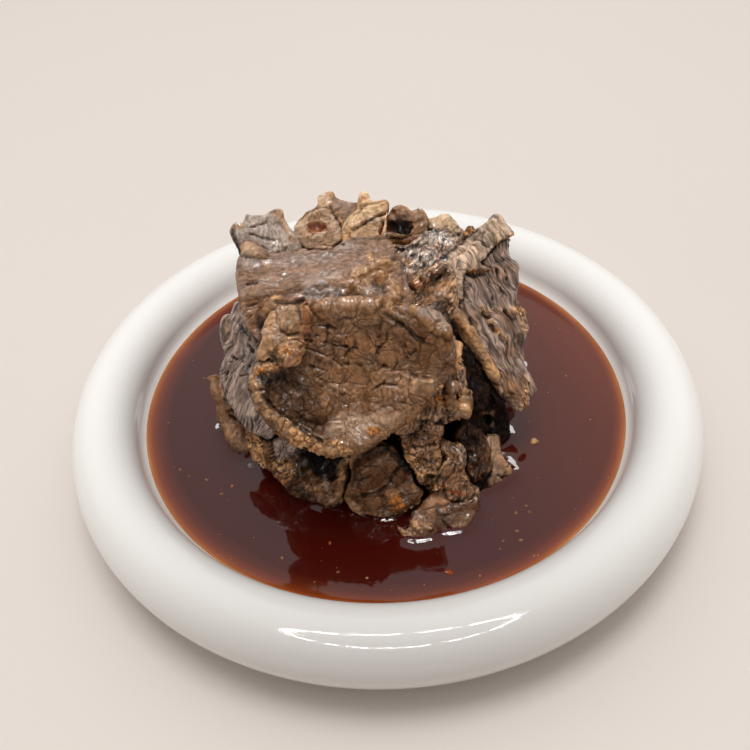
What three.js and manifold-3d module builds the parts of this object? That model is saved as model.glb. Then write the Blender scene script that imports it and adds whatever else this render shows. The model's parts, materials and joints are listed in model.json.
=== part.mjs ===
// Beef tapa: cooked slices of marinated beef heaped in dark soy sauce on a round white plate with a fat rolled rim.
// Millimetres, +Z up. The origin is on the table under the middle of the plate, and the front of the heap faces -Y.
import * as THREE from "three";
import { mergeVertices } from "three/addons/utils/BufferGeometryUtils.js";
import Module from "manifold-3d";

const wasm = await Module();
wasm.setup();

// Driving dimensions
const RIM_RADIUS = 81; // from the axis to the middle of the rolled rim
const RIM_WIDE = 9.2; // half width of the roll
const RIM_TALL = 9.4; // half height of the roll
const RIM_HEIGHT = 14.6; // height of the roll's middle
const FLOOR_HEIGHT = 7;
const FLOOR_RADIUS = 58;
const FOOT_OUTER = 54;
const FOOT_INNER = 48;
const FOOT_RECESS = 2.4;
const SAUCE_LEVEL = 12;
const SAUCE_RADIUS = 70;
const PLATE_SECTORS = 44;
const GAP = 0.4; // left between pieces that touch
const SMOOTHING = 0.18; // finest detail that a cut leaves on a slice
const CUP_SPAN = 20; // distance from a slice's middle at which its cup is measured

const radians = THREE.MathUtils.degToRad;
const white = "#ece9e3";
const sauceBrown = "#3d1410";
const beefBrown = "#6d5645";
const beefGrey = "#6f645c";
const beefDark = "#46372e";
const fatTan = "#a5814f";

// Closed geometry to a manifold solid, and back
function toSolid(geometry) {
  const bare = geometry.clone();
  bare.deleteAttribute("normal");
  bare.deleteAttribute("uv");
  const merged = mergeVertices(bare, 1e-4);
  return new wasm.Manifold(
    new wasm.Mesh({
      numProp: 3,
      vertProperties: merged.attributes.position.array,
      triVerts: new Uint32Array(merged.index.array),
    }),
  );
}

function toGeometry(solid) {
  const mesh = solid.getMesh();
  const geometry = new THREE.BufferGeometry();
  geometry.setAttribute("position", new THREE.BufferAttribute(mesh.vertProperties, 3));
  geometry.setIndex(new THREE.BufferAttribute(mesh.triVerts, 1));
  geometry.computeVertexNormals();
  return geometry;
}

// The main piece that is left after cuts, without scraps, sealed hollows or detail finer than a cook would see
function trimmed(solid, finest = SMOOTHING) {
  const largest = (parts) => parts.decompose().reduce((a, b) => (b.volume() > a.volume() ? b : a));
  return largest(largest(solid).simplify(finest));
}

function namedMesh(name, geometry, color, roughness) {
  const mesh = new THREE.Mesh(geometry, new THREE.MeshStandardMaterial({ color, roughness, metalness: 0 }));
  mesh.name = name;
  return mesh;
}

// A short arc of profile points about (r, z), from one angle to another in degrees
function arc(r, z, wide, tall, from, to, steps) {
  return Array.from({ length: steps + 1 }, (_, i) => {
    const angle = radians(from + ((to - from) * i) / steps);
    return new THREE.Vector2(r + wide * Math.cos(angle), z + tall * Math.sin(angle));
  });
}

// Height of the plate's upper face inside the rim: a flat floor, then a gentle slope up to the sauce's edge
function wellHeight(r) {
  const part = Math.max(0, (r - FLOOR_RADIUS) / (SAUCE_RADIUS - FLOOR_RADIUS));
  return FLOOR_HEIGHT + (SAUCE_LEVEL - FLOOR_HEIGHT) * part ** 1.7;
}

function wellPoints(radii, lift) {
  return radii.map((r) => new THREE.Vector2(r, wellHeight(r) + lift));
}

// Plate: a foot ring, the well and a fat rolled rim
function plateGeometry() {
  const profile = [
    new THREE.Vector2(0, FOOT_RECESS),
    new THREE.Vector2(FOOT_INNER - 2, FOOT_RECESS),
    new THREE.Vector2(FOOT_INNER, 0),
    new THREE.Vector2(FOOT_OUTER, 0),
    new THREE.Vector2(FOOT_OUTER + 2.5, 2.2),
    ...arc(RIM_RADIUS, RIM_HEIGHT, RIM_WIDE, RIM_TALL, -118, 170, 13),
    new THREE.Vector2(71.6, 14),
    ...wellPoints([SAUCE_RADIUS, 64, FLOOR_RADIUS, 0], 0),
  ];
  return new THREE.LatheGeometry(profile, PLATE_SECTORS).rotateX(Math.PI / 2);
}

// Sauce: a pool over the well up to its level, cut round the foot of the heap, which stands on the plate within it
function sauceGeometry(laid) {
  const shore = SAUCE_RADIUS - 1;
  const profile = [
    ...wellPoints([0, FLOOR_RADIUS, 64, shore], GAP),
    new THREE.Vector2(shore, SAUCE_LEVEL),
    new THREE.Vector2(0, SAUCE_LEVEL),
  ];
  const pool = toSolid(new THREE.LatheGeometry(profile, PLATE_SECTORS).rotateX(Math.PI / 2));
  const underHeap = toSolid(new THREE.CylinderGeometry(1, 1, 30, 24).rotateX(Math.PI / 2).scale(33, 30, 1).translate(-2.5, -1, 10));
  const cut = laid.reduce((rest, piece) => rest.subtract(piece), pool.subtract(underHeap));
  return toGeometry(trimmed(cut, SMOOTHING / 2));
}

// Smooth outline through a slice's reaches, which are spread evenly round it from its right-hand side
function reachAt(reach, angle) {
  const n = reach.length;
  const place = ((angle / (2 * Math.PI)) * n + n) % n;
  const i = Math.floor(place);
  const t = place - i;
  const [a, b, c, d] = [-1, 0, 1, 2].map((k) => reach[(i + k + n) % n]);
  return b + 0.5 * t * (c - a + t * (2 * a - 5 * b + 4 * c - d + t * (3 * (b - c) + d - a)));
}

// Slow uneven swell of a cooked surface, between about -1 and 1
function swell(u, v, seed) {
  const slow = Math.sin(0.31 * u + 1.7 * seed) * Math.cos(0.27 * v - 2.3 * seed);
  const middling = 0.6 * Math.sin(0.53 * v + 0.41 * u + 0.9 * seed);
  const quick = 0.4 * Math.cos(0.83 * u - 0.62 * v + 3.1 * seed);
  return (slow + middling + quick) / 1.6;
}

// Bends all that lies beyond a line across the slice: away from its outer face, or towards it where turn is negative
function bend(point, { towards, from, radius, turn }) {
  const side = Math.sign(turn);
  const x = Math.cos(radians(towards));
  const y = Math.sin(radians(towards));
  const beyond = point.x * x + point.y * y - from;
  if (beyond <= 0) return point;
  const whole = Math.abs(radians(turn));
  const angle = Math.min(beyond / radius, whole);
  const past = Math.max(beyond - radius * whole, 0);
  const out = radius + side * point.z;
  const along = out * Math.sin(angle) + past * Math.cos(angle) - beyond;
  const depth = out * Math.cos(angle) - past * Math.sin(angle) - radius;
  return new THREE.Vector3(point.x + along * x, point.y + along * y, side * depth);
}

// Point on the middle surface of a slice
function middle(slice, u, v) {
  const [cupU, cupV] = slice.cup;
  const rise = cupU * (u / CUP_SPAN) ** 2 + cupV * (v / CUP_SPAN) ** 2;
  const wave = slice.wave * swell(u, v, slice.seed);
  return (slice.folds ?? []).reduce(bend, new THREE.Vector3(u, v, rise + wave));
}

// Rings of a slice's face, from its middle to its edge: share of the reach, and share of the half thickness
const plainRings = [
  [0.52, 1],
  [0.87, 0.85],
];
const fineRings = [
  [0.36, 1],
  [0.68, 1],
  [0.87, 1],
  [0.96, 0.7],
];

// Slice of meat: two faces and a round edge over a middle surface that is cupped, waved and folded.
// A lip raises the outer face near the edge, between two angles. Grow widens the slice all round.
function sliceGeometry(slice, grow = 0) {
  const { reach, seed, thick, sectors = 14, stretch = [1, 1], lip } = slice;
  const rings = sectors > 20 ? fineRings : plainRings;
  const positions = [];
  const put = (share, part, angle, side) => {
    const ragged = 1 + 0.06 * Math.sin(7 * angle + seed) * Math.sin(3 * angle + 2 * seed);
    const radius = reachAt(reach, angle) * ragged;
    const across = new THREE.Vector2(Math.cos(angle) * stretch[0], Math.sin(angle) * stretch[1]).multiplyScalar(radius);
    across.setLength(across.length() + grow).multiplyScalar(share);
    const [u, v] = across;
    const step = 0.05;
    const at = middle(slice, u, v);
    const du = middle(slice, u + step, v).sub(middle(slice, u - step, v));
    const dv = middle(slice, u, v + step).sub(middle(slice, u, v - step));
    const uneven = 1 + 0.2 * swell(2 * u, 2 * v, seed + 5);
    const raised = lip && side > 0 && share > 0.8 ? lip(THREE.MathUtils.radToDeg(angle)) : 0;
    const half = ((thick * uneven) / 2 + grow + raised) * part;
    positions.push(at.addScaledVector(du.cross(dv).normalize(), side * half));
  };
  const ring = (share, part, side) => {
    for (let i = 0; i < sectors; i++) put(share, part, (2 * Math.PI * i) / sectors, side);
  };
  put(0, 1, 0, 1);
  rings.forEach(([share, part]) => ring(share, part, 1));
  ring(1, 0, 1);
  rings.toReversed().forEach(([share, part]) => ring(share, part, -1));
  put(0, 1, 0, -1);

  const index = [];
  const last = positions.length - 1;
  const ringCount = 2 * rings.length + 1;
  const corner = (ringNumber, i) => 1 + ringNumber * sectors + (i % sectors);
  for (let i = 0; i < sectors; i++) {
    index.push(0, corner(0, i), corner(0, i + 1));
    for (let r = 0; r < ringCount - 1; r++) {
      index.push(corner(r, i), corner(r + 1, i), corner(r + 1, i + 1));
      index.push(corner(r, i), corner(r + 1, i + 1), corner(r, i + 1));
    }
    index.push(last, corner(ringCount - 1, i + 1), corner(ringCount - 1, i));
  }
  const geometry = new THREE.BufferGeometry().setFromPoints(positions);
  geometry.setIndex(index);
  return geometry;
}

// Where a slice lies: its outer face looks along azimuth (0 is the front, 90 the right) and elevation, turned by spin
function placement({ at, face: [azimuth, elevation, spin = 0] }) {
  const a = radians(azimuth);
  const e = radians(elevation);
  const out = new THREE.Vector3(Math.sin(a) * Math.cos(e), -Math.cos(a) * Math.cos(e), Math.sin(e));
  const up = new THREE.Vector3(-Math.sin(a) * Math.sin(e), Math.cos(a) * Math.sin(e), Math.cos(e));
  const right = up.clone().cross(out);
  return new THREE.Matrix4()
    .makeBasis(right, up, out)
    .multiply(new THREE.Matrix4().makeRotationZ(radians(spin)))
    .setPosition(...at);
}

// Small lump on a slice or hollow in it: an ellipsoid about a point of its outer face
function blob(slice, { on: [u, v], size, turn = 0, lift = 0 }) {
  const at = middle(slice, u, v);
  return toSolid(
    new THREE.IcosahedronGeometry(1, 1)
      .scale(...size)
      .rotateZ(radians(turn))
      .translate(at.x, at.y, at.z + slice.thick / 2 + lift),
  );
}

// The raised fatty rim of the front slice runs from its left corner round its lower edge
const frontLip = (angle) => (angle > 168 && angle < 300 ? 1.6 : 0.3);

// The slices, outermost first: each is cut back where an earlier one lies. Reaches run anticlockwise from the right.
const slices = {
  front_slice: {
    at: [-7.3, -31, 49.4], face: [0, 40], thick: 4.5, cup: [2.6, 3], wave: 0.4, seed: 1, sectors: 30,
    reach: [23, 26, 23, 20, 19, 20, 20, 22, 24, 22, 20, 19, 17, 15.5, 16, 18], lip: frontLip, color: beefBrown,
  },
  fat_lump: {
    at: [-22.4, -26, 60], face: [-20, 46], thick: 6, cup: [-1, -1], wave: 0.8, seed: 2,
    reach: [5, 6, 9, 8, 7, 6, 5.5, 5, 10, 8, 7, 5.5], color: fatTan,
  },
  top_slice: {
    at: [-13.9, -10.4, 64], face: [0, 77], thick: 5.5, cup: [-1, -0.5], wave: 0.6, seed: 3, sectors: 24,
    reach: [22, 19, 12, 10, 12, 19, 21, 27, 22, 12, 13, 21], color: beefBrown,
    folds: [{ towards: 215, from: 13, radius: 6, turn: 62 }],
    lumps: [{ on: [-15.5, 7.5], size: [4, 2, 1.5], turn: -15 }],
  },
  upright_slice: {
    at: [-28.3, 8, 64], face: [-15, 50], thick: 4, cup: [1, 0], wave: 0.5, seed: 4,
    reach: [8, 6.5, 7.5, 8, 9, 10, 9, 9, 11, 9, 9, 9.5], color: beefGrey,
  },
  small_peak: {
    at: [25.3, 6.5, 60], face: [20, 45], thick: 4, cup: [0, 0], wave: 0.5, seed: 21, sectors: 10,
    reach: [3, 3, 4, 4, 3, 3, 3, 4, 5, 5, 4, 3], color: beefBrown,
    hollows: [{ on: [0.6, 0.8], size: [1, 2, 1.6], turn: -20 }],
  },
  fat_strip: {
    at: [23.8, -15.8, 45.2], face: [38, 35, -79], thick: 2.6, cup: [0, 0], wave: 0.4, seed: 20, sectors: 10,
    reach: [6, 6, 6, 6, 6, 6, 6, 6], stretch: [2.3, 0.3], color: fatTan,
  },
  right_slice: {
    at: [31.3, -4, 46.7], face: [38, 35], thick: 5.5, cup: [-2.5, -0.5], wave: 0.6, seed: 5, sectors: 26,
    reach: [8, 10, 15, 23, 19, 18, 15.5, 14, 13.5, 14.5, 18, 25, 26, 14, 10, 8], color: beefGrey,
  },
  rolled_slice: {
    at: [-13.2, 13, 65], face: [-5, 45], thick: 6, cup: [-3, -3], wave: 0.5, seed: 6, sectors: 16,
    reach: [8, 8.5, 8, 8, 7, 6.5, 7, 8.5, 9, 9, 8, 8], color: beefBrown,
    hollows: [{ on: [-2.4, 0.6], size: [2.4, 1.5, 2.4], turn: 15 }],
  },
  fat_strands: {
    at: [-0.2, 8, 66.5], face: [0, 60, 15], thick: 5, cup: [-2, 0], wave: 0.9, seed: 7,
    reach: [6.5, 7, 7, 7, 7, 7, 7, 8, 7, 7, 7, 6], color: fatTan,
    lumps: [{ on: [-0.4, 6.2], size: [1.2, 3.2, 1.4], turn: -12 }],
  },
  dark_curl: {
    at: [7.7, 11, 65], face: [5, 50], thick: 5, cup: [-1, -1], wave: 0.7, seed: 8,
    reach: [6.5, 6.5, 5.5, 5, 5.5, 6.5, 6.5, 6.5, 6, 6, 6, 6.5], color: beefDark,
    hollows: [{ on: [-1, -0.5], size: [4, 2.4, 2], turn: -12 }],
  },
  wet_slice: {
    at: [13.5, 2, 60.5], face: [12, 60], thick: 4.5, cup: [1, 1], wave: 0.6, seed: 9, sectors: 18,
    reach: [10, 9, 8, 8, 9, 10, 9, 10, 10, 8, 7.5, 9], color: beefGrey,
  },
  peak_slice: {
    at: [18.4, 9, 61.5], face: [20, 50], thick: 5, cup: [-1, 0], wave: 0.6, seed: 10,
    reach: [6, 5, 6, 7, 6.5, 7, 7, 7, 8, 9, 8, 7], color: beefBrown,
  },
  tan_flap: {
    at: [12.8, -13, 60], face: [10, 45], thick: 5, cup: [-1, 1], wave: 0.9, seed: 22, sectors: 16,
    reach: [7, 8.5, 8, 6, 5, 5, 7, 8, 8, 8, 8, 7], color: beefBrown,
  },
  left_slice: {
    at: [-35.3, -18, 41], face: [-42, 28], thick: 5, cup: [-2, -1], wave: 0.6, seed: 11, sectors: 22,
    reach: [10, 11, 12, 13, 15, 10, 7, 7, 8.5, 11, 16, 12], color: beefGrey,
  },
  under_slice: {
    at: [12.4, -28.5, 41.8], face: [18, 36], thick: 4, cup: [1, 1], wave: 0.7, seed: 12, sectors: 18,
    reach: [8.5, 11, 15, 14, 12, 12, 13, 15, 10, 8, 10, 9], color: beefBrown,
    lumps: [{ on: [4, 0], size: [1.6, 1.6, 1.6] }, { on: [3, -3.4], size: [1.7, 1.9, 1.7] }],
  },
  low_left: {
    at: [-19.5, -32, 22.5], face: [-16, 18], thick: 9, cup: [-2, -1], wave: 0.9, seed: 13, sectors: 18,
    reach: [10, 12, 10, 8, 11, 14, 12, 12, 15, 18, 16, 12], color: beefDark,
  },
  low_middle: {
    at: [-1.3, -38, 21.5], face: [3, 15], thick: 8, cup: [-1, -1], wave: 0.7, seed: 14, sectors: 18,
    reach: [9, 10, 12, 13, 12, 10, 9.5, 11, 14, 17, 16, 12], color: beefBrown,
    lumps: [{ on: [4.3, -6.5], size: [2.7, 2.2, 1.6] }],
  },
  neck_piece: {
    at: [9.4, -36, 30], face: [12, 20], thick: 6, cup: [-1, 0], wave: 0.9, seed: 23,
    reach: [4.5, 6.5, 8.5, 9, 8, 4.5, 4, 5.5, 8, 10, 7, 4.5], color: beefBrown,
  },
  sauce_piece: {
    at: [13.3, -44, 12.5], face: [15, 40], thick: 8, cup: [-2, -2], wave: 1, seed: 15, sectors: 16,
    reach: [11, 12.5, 7.5, 6, 7, 8, 11, 11.5, 11, 11, 10, 10], color: beefDark,
  },
  grey_lump: {
    at: [14.8, -36.5, 23], face: [20, 22], thick: 7, cup: [-1, -1], wave: 0.9, seed: 16,
    reach: [5.5, 6.5, 6.5, 7, 6.5, 6, 6, 7, 11, 14, 10, 6], color: beefGrey,
  },
  right_lobe: {
    at: [27.4, -29.5, 14], face: [40, 30], thick: 8, cup: [-2, -1], wave: 0.9, seed: 17,
    reach: [5.5, 6.5, 8, 8.5, 8, 7.5, 7.5, 9, 10, 10, 8.5, 6], color: beefDark,
  },
  dark_lump: {
    at: [21.6, -32, 20.5], face: [25, 25], thick: 7, cup: [-1, -1], wave: 0.9, seed: 24,
    reach: [5, 6, 8, 9, 7, 5, 5, 7, 11, 15, 10, 6], color: beefDark,
  },
  left_foot: {
    at: [-31.5, -25, 25], face: [-32, 20], thick: 6, cup: [-1, 0], wave: 0.7, seed: 25,
    reach: [6.5, 5.5, 6, 7, 7.5, 7, 6, 6, 7, 9, 9, 8], color: beefBrown,
  },
  left_curl: {
    at: [-42.6, -12, 19], face: [-48, 20], thick: 6, cup: [-3, -1], wave: 0.7, seed: 18,
    reach: [6, 5.5, 7, 9, 11, 12, 7.5, 6.5, 9.5, 14, 12, 8], color: beefBrown,
    hollows: [{ on: [2.5, 1.5], size: [2, 1.2, 1.8], turn: -20 }],
  },
  deep_slice: {
    at: [22, -18.5, 37], face: [30, 30], thick: 5, cup: [1, 1], wave: 0.9, seed: 19,
    reach: [6, 6, 8, 12, 10, 8, 8, 9, 10, 11, 9, 7], color: beefDark,
  },
  deep_curl: {
    at: [25.5, -18, 20], face: [35, 20], thick: 8, cup: [-1, 1], wave: 0.9, seed: 26,
    reach: [9, 8, 8, 8, 10, 10, 9, 9, 12, 15, 14, 11], color: beefDark,
  },
  left_side_high: {
    at: [-33.5, 3, 46], face: [-94, 32], thick: 5, cup: [-1, -1], wave: 0.8, seed: 41,
    reach: [12, 12, 11, 10, 11, 13, 13, 12, 13, 14, 14, 13], color: beefBrown,
  },
  right_side_high: {
    at: [31.5, 11, 44], face: [98, 30], thick: 5, cup: [-1, -1], wave: 0.9, seed: 42,
    reach: [11, 12, 12, 12, 12, 11, 11, 13, 15, 16, 15, 12], color: beefBrown,
  },
  rear_top: {
    at: [2, 22, 57.5], face: [172, 60], thick: 6, cup: [-2, -2], wave: 1, seed: 31, sectors: 18,
    reach: [23, 21, 14, 10, 13, 19, 24, 22, 14, 11, 13, 20], color: beefBrown,
  },
  rear_left_high: {
    at: [-28, 19, 43], face: [-130, 28], thick: 6, cup: [-2, -1], wave: 0.9, seed: 32, sectors: 18,
    reach: [14, 16, 17, 15, 13, 13, 15, 16, 20, 21, 18, 14], color: beefGrey,
  },
  rear_middle: {
    at: [-3, 32, 38], face: [177, 28], thick: 6, cup: [2, 2], wave: 0.8, seed: 33, sectors: 18,
    reach: [22, 19, 14, 13, 16, 20, 23, 19, 15, 14, 17, 21], color: beefBrown,
  },
  rear_right_high: {
    at: [24, 22, 42], face: [140, 28], thick: 6, cup: [-1, -2], wave: 0.9, seed: 34, sectors: 18,
    reach: [14, 16, 19, 20, 16, 13, 14, 15, 18, 21, 18, 14], color: beefGrey,
  },
  rear_left_low: {
    at: [-30, 23, 18], face: [-137, 18], thick: 10, cup: [-2, -1], wave: 1.1, seed: 35,
    reach: [17, 14, 11, 12, 15, 17, 16, 15, 15, 15, 15, 16], color: beefDark,
  },
  rear_middle_low: {
    at: [-2, 35, 17], face: [182, 16], thick: 10, cup: [-1, -2], wave: 1.1, seed: 36,
    reach: [19, 15, 11, 11, 13, 17, 18, 16, 15, 15, 15, 17], color: beefBrown,
  },
  rear_right_low: {
    at: [25, 27, 18], face: [138, 16], thick: 10, cup: [-1, -1], wave: 1.1, seed: 37,
    reach: [16, 13, 11, 13, 15, 16, 15, 15, 15, 15, 15, 15], color: beefDark,
  },
  right_side_low: {
    at: [35, 6, 20], face: [86, 18], thick: 9, cup: [-1, -1], wave: 1.1, seed: 38,
    reach: [15, 13, 12, 14, 16, 15, 14, 14, 15, 16, 15, 14], color: beefDark,
  },
  left_side_low: {
    at: [-40.5, 5, 22], face: [-93, 20], thick: 8, cup: [-2, -1], wave: 1, seed: 39,
    reach: [14, 14, 14, 13, 13, 13, 14, 15, 17, 18, 17, 15], color: beefBrown,
  },
  second_slice: {
    at: [-11, -25, 43], face: [-4, 42], thick: 5, cup: [1, 2], wave: 0.8, seed: 43, sectors: 16,
    reach: [19, 17, 14, 13, 16, 18, 17, 15, 14, 13, 14, 17], color: beefDark,
  },
  inner_meat: {
    at: [-2, -1, 31], face: [0, 90], thick: 48, cup: [0, 0], wave: 0.6, seed: 40,
    reach: [29, 28, 28, 28, 29, 30, 31, 29, 27, 27, 27, 28], color: beefDark,
  },
};

const bed = toSolid(new THREE.BoxGeometry(200, 200, 60).translate(0, 0, FLOOR_HEIGHT + GAP - 30));

// The heap, and the room that each of its pieces takes
function heap() {
  const group = new THREE.Group();
  const laid = [];
  for (const [name, slice] of Object.entries(slices)) {
    const place = placement(slice);
    const back = place.clone().invert();
    let solid = toSolid(sliceGeometry(slice));
    for (const lump of slice.lumps ?? []) solid = solid.add(blob(slice, lump));
    for (const hollow of slice.hollows ?? []) solid = solid.subtract(blob(slice, hollow));
    let room = toSolid(sliceGeometry(slice, GAP)).add(solid);
    for (const lump of slice.lumps ?? []) room = room.add(blob(slice, { ...lump, size: lump.size.map((s) => s + GAP) }));
    solid = toSolid(toGeometry(solid).applyMatrix4(place)).subtract(bed);
    for (const earlier of laid) solid = solid.subtract(earlier);
    laid.push(toSolid(toGeometry(room).applyMatrix4(place)));
    const mesh = namedMesh(name, toGeometry(trimmed(solid)).applyMatrix4(back), slice.color, 0.45);
    mesh.applyMatrix4(place);
    group.add(mesh);
  }
  return { group, laid };
}

const { group: meat, laid } = heap();
const tapa = new THREE.Group();
tapa.add(
  namedMesh("plate", plateGeometry(), white, 0.18),
  namedMesh("sauce", sauceGeometry(laid), sauceBrown, 0.1),
  meat,
);

export default tapa;
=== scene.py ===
import itertools
import json
import math

import bmesh
import bpy
import numpy as np
from mathutils import Matrix, Vector
from mathutils.bvhtree import BVHTree
from mathutils.kdtree import KDTree

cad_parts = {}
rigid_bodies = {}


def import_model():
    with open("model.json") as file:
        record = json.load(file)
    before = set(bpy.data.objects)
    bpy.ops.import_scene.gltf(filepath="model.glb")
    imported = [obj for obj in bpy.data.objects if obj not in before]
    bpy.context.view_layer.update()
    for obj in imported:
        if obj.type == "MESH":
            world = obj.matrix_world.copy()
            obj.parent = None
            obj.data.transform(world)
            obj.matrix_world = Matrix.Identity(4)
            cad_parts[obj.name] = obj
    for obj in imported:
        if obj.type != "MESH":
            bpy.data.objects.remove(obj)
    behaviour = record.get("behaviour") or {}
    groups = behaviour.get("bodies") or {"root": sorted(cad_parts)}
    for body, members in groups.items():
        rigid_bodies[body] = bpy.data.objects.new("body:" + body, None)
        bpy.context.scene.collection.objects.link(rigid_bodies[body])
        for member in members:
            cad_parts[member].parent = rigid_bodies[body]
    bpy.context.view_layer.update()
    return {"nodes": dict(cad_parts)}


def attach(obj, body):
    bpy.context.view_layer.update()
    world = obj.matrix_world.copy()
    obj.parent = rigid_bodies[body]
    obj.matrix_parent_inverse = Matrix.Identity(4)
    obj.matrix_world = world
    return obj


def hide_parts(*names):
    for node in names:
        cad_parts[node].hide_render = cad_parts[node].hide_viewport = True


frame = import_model()
MM = 0.001
# Stand-ins for no length and for endless distance
TINY = 1e-9
FAR = 1e9

# Plate and sauce, as in the solids
RIM_RADIUS = 81
RIM_WIDE = 9.2
RIM_TALL = 9.4
RIM_HEIGHT = 14.6
FLOOR_HEIGHT = 7
FLOOR_RADIUS = 58
FOOT_OUTER = 54
FOOT_INNER = 48
FOOT_RECESS = 2.4
SAUCE_LEVEL = 12
SAUCE_RADIUS = 70

# Camera of the photograph, fitted to the outlines of the rim and the sauce: the pixel in the middle, the
# focal length in pixels, where it is, and its three axes
IMAGE_MIDDLE = 375
FOCAL_PIXELS = 800
EYE = np.array([0.0, -167.284, 184.155])
AHEAD = np.array([-0.00944961, 0.715467, -0.69858262])
RIGHT = np.array([0.99857396, -0.02995691, -0.0441885])
UP = np.array([0.05254279, 0.69800398, 0.71416364])


def linear(r, g, b):
    """Linear colour of an sRGB value from 0 to 255"""
    parts = np.array([r, g, b]) / 255
    return np.where(parts <= 0.04045, parts / 12.92, ((parts + 0.055) / 1.055) ** 2.4)


COLOURS = {
    "brown": linear(144, 102, 67),
    "light brown": linear(176, 138, 107),
    "deep brown": linear(98, 64, 38),
    "grey": linear(164, 143, 131),
    "light grey": linear(184, 166, 152),
    "soaked": linear(48, 27, 17),
    # Black is painted shade, in crevices, gaps and holes and on the pieces deep in the heap
    "black": linear(9, 5, 4),
    "tan": linear(210, 161, 112),
    "light tan": linear(230, 194, 152),
    "orange": linear(200, 128, 64),
    "rust": linear(156, 66, 22),
    "pale": linear(220, 190, 162),
    "taupe": linear(152, 121, 100),
    "umber": linear(132, 78, 44),
    "dusky": linear(128, 94, 64),
}
# Black and soaked are painted into crevices as painted shade; soaked also colours meat soaked in sauce
DULL = ("black", "soaked")  # colours of crevices
DULLED = 0.9  # share of the gloss that they take away


def pixels_of(at):
    """Where points show in the photograph, and how many pixels a millimetre takes there"""
    away = at - EYE
    depth = away @ AHEAD
    x = IMAGE_MIDDLE + FOCAL_PIXELS * (away @ RIGHT) / depth
    y = IMAGE_MIDDLE - FOCAL_PIXELS * (away @ UP) / depth
    return np.stack([x, y], 1), FOCAL_PIXELS / depth


def sight(x, y):
    """Direction from the camera through a pixel"""
    ray = AHEAD + RIGHT * (x - IMAGE_MIDDLE) / FOCAL_PIXELS + UP * (IMAGE_MIDDLE - y) / FOCAL_PIXELS
    return ray / np.linalg.norm(ray)


# Noise. Places in millimetres that are divided by a size give patterns of about that size.
def lattice(seed):
    """Shuffled numbers for the corners of a lattice, and the generator that goes on from there"""
    source = np.random.RandomState(seed)
    order = source.permutation(256)
    return np.concatenate([order, order]), source


def numbered(order, cell):
    """Each lattice cell's own number from 0 to 255"""
    x, y, z = (cell[:, i] & 255 for i in range(3))
    return order[order[order[x] + y] + z]


def noise(at, seed=0):
    """Smooth noise between about -1 and 1"""
    order, source = lattice(seed)
    slopes = source.normal(size=(256, 3))
    slopes /= np.linalg.norm(slopes, axis=1, keepdims=True)
    base = np.floor(at).astype(int)
    part = at - base
    blend = part**3 * (part * (6 * part - 15) + 10)
    total = np.zeros(len(at))
    for corner in itertools.product((0, 1), repeat=3):
        slope = slopes[numbered(order, base + corner)]
        weight = np.prod(np.where(corner, blend, 1 - blend), axis=1)
        total += weight * ((part - corner) * slope).sum(1)
    return 1.6 * total


def layered(at, seed, layers=3):
    """Noise with finer and weaker layers on it"""
    return sum(noise(at * 2**i, seed + i) / 2**i for i in range(layers))


def cells(at, seed=0):
    """Distance to the nearest spot, the lead over the second nearest, and the nearest one's own shade"""
    order, source = lattice(seed)
    spots = source.uniform(0.05, 0.95, size=(256, 3))
    shades = source.uniform(-1, 1, size=256)
    base = np.floor(at).astype(int)
    first = np.full(len(at), 9.0)
    second = np.full(len(at), 9.0)
    owner = np.zeros(len(at), int)
    for corner in itertools.product((-1, 0, 1), repeat=3):
        cell = base + corner
        number = numbered(order, cell)
        away = np.linalg.norm(at - cell - spots[number], axis=1)
        nearer = away < first
        second = np.where(nearer, first, np.minimum(second, away))
        owner = np.where(nearer, number, owner)
        first = np.where(nearer, away, first)
    return first, second - first, shades[owner]


def ramp(value, low, high):
    """0 up to low, 1 from high on, and smooth between them"""
    t = np.clip((value - low) / (high - low), 0, 1)
    return t * t * (3 - 2 * t)


# Meshes
def new_object(name, mesh, material):
    """Puts a mesh in the scene as a smooth piece of the one body"""
    made = bpy.data.objects.new(name, mesh)
    bpy.context.scene.collection.objects.link(made)
    mesh.materials.clear()
    mesh.materials.append(material)
    mesh.polygons.foreach_set("use_smooth", np.ones(len(mesh.polygons), bool))
    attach(made, "root")
    return made


def mesh_of(name, points, faces):
    """Mesh of points in millimetres"""
    mesh = bpy.data.meshes.new(name)
    mesh.from_pydata((np.asarray(points) * MM).tolist(), [], [list(map(int, f)) for f in faces])
    mesh.update()
    return mesh


def with_attributes(mesh, **values):
    """Writes what the materials read at each point of a mesh: vectors or single numbers"""
    for name, numbers in values.items():
        kind, key = ("FLOAT_VECTOR", "vector") if numbers.ndim == 2 else ("FLOAT", "value")
        mesh.attributes.new(name, kind, "POINT").data.foreach_set(key, numbers.ravel())


def evenly_meshed(node, voxel):
    """Copy of a solid's mesh in even quads"""
    rough = bpy.data.objects.new("rough", frame["nodes"][node].data.copy())
    if node in OUTLINES:
        with_slab(rough.data, node)
    bpy.context.scene.collection.objects.link(rough)
    remesh = rough.modifiers.new("even", "REMESH")
    remesh.mode = "VOXEL"
    remesh.voxel_size = voxel * MM
    seen = rough.evaluated_get(bpy.context.evaluated_depsgraph_get())
    mesh = bpy.data.meshes.new_from_object(seen)
    bpy.data.objects.remove(rough)
    return mesh


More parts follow.
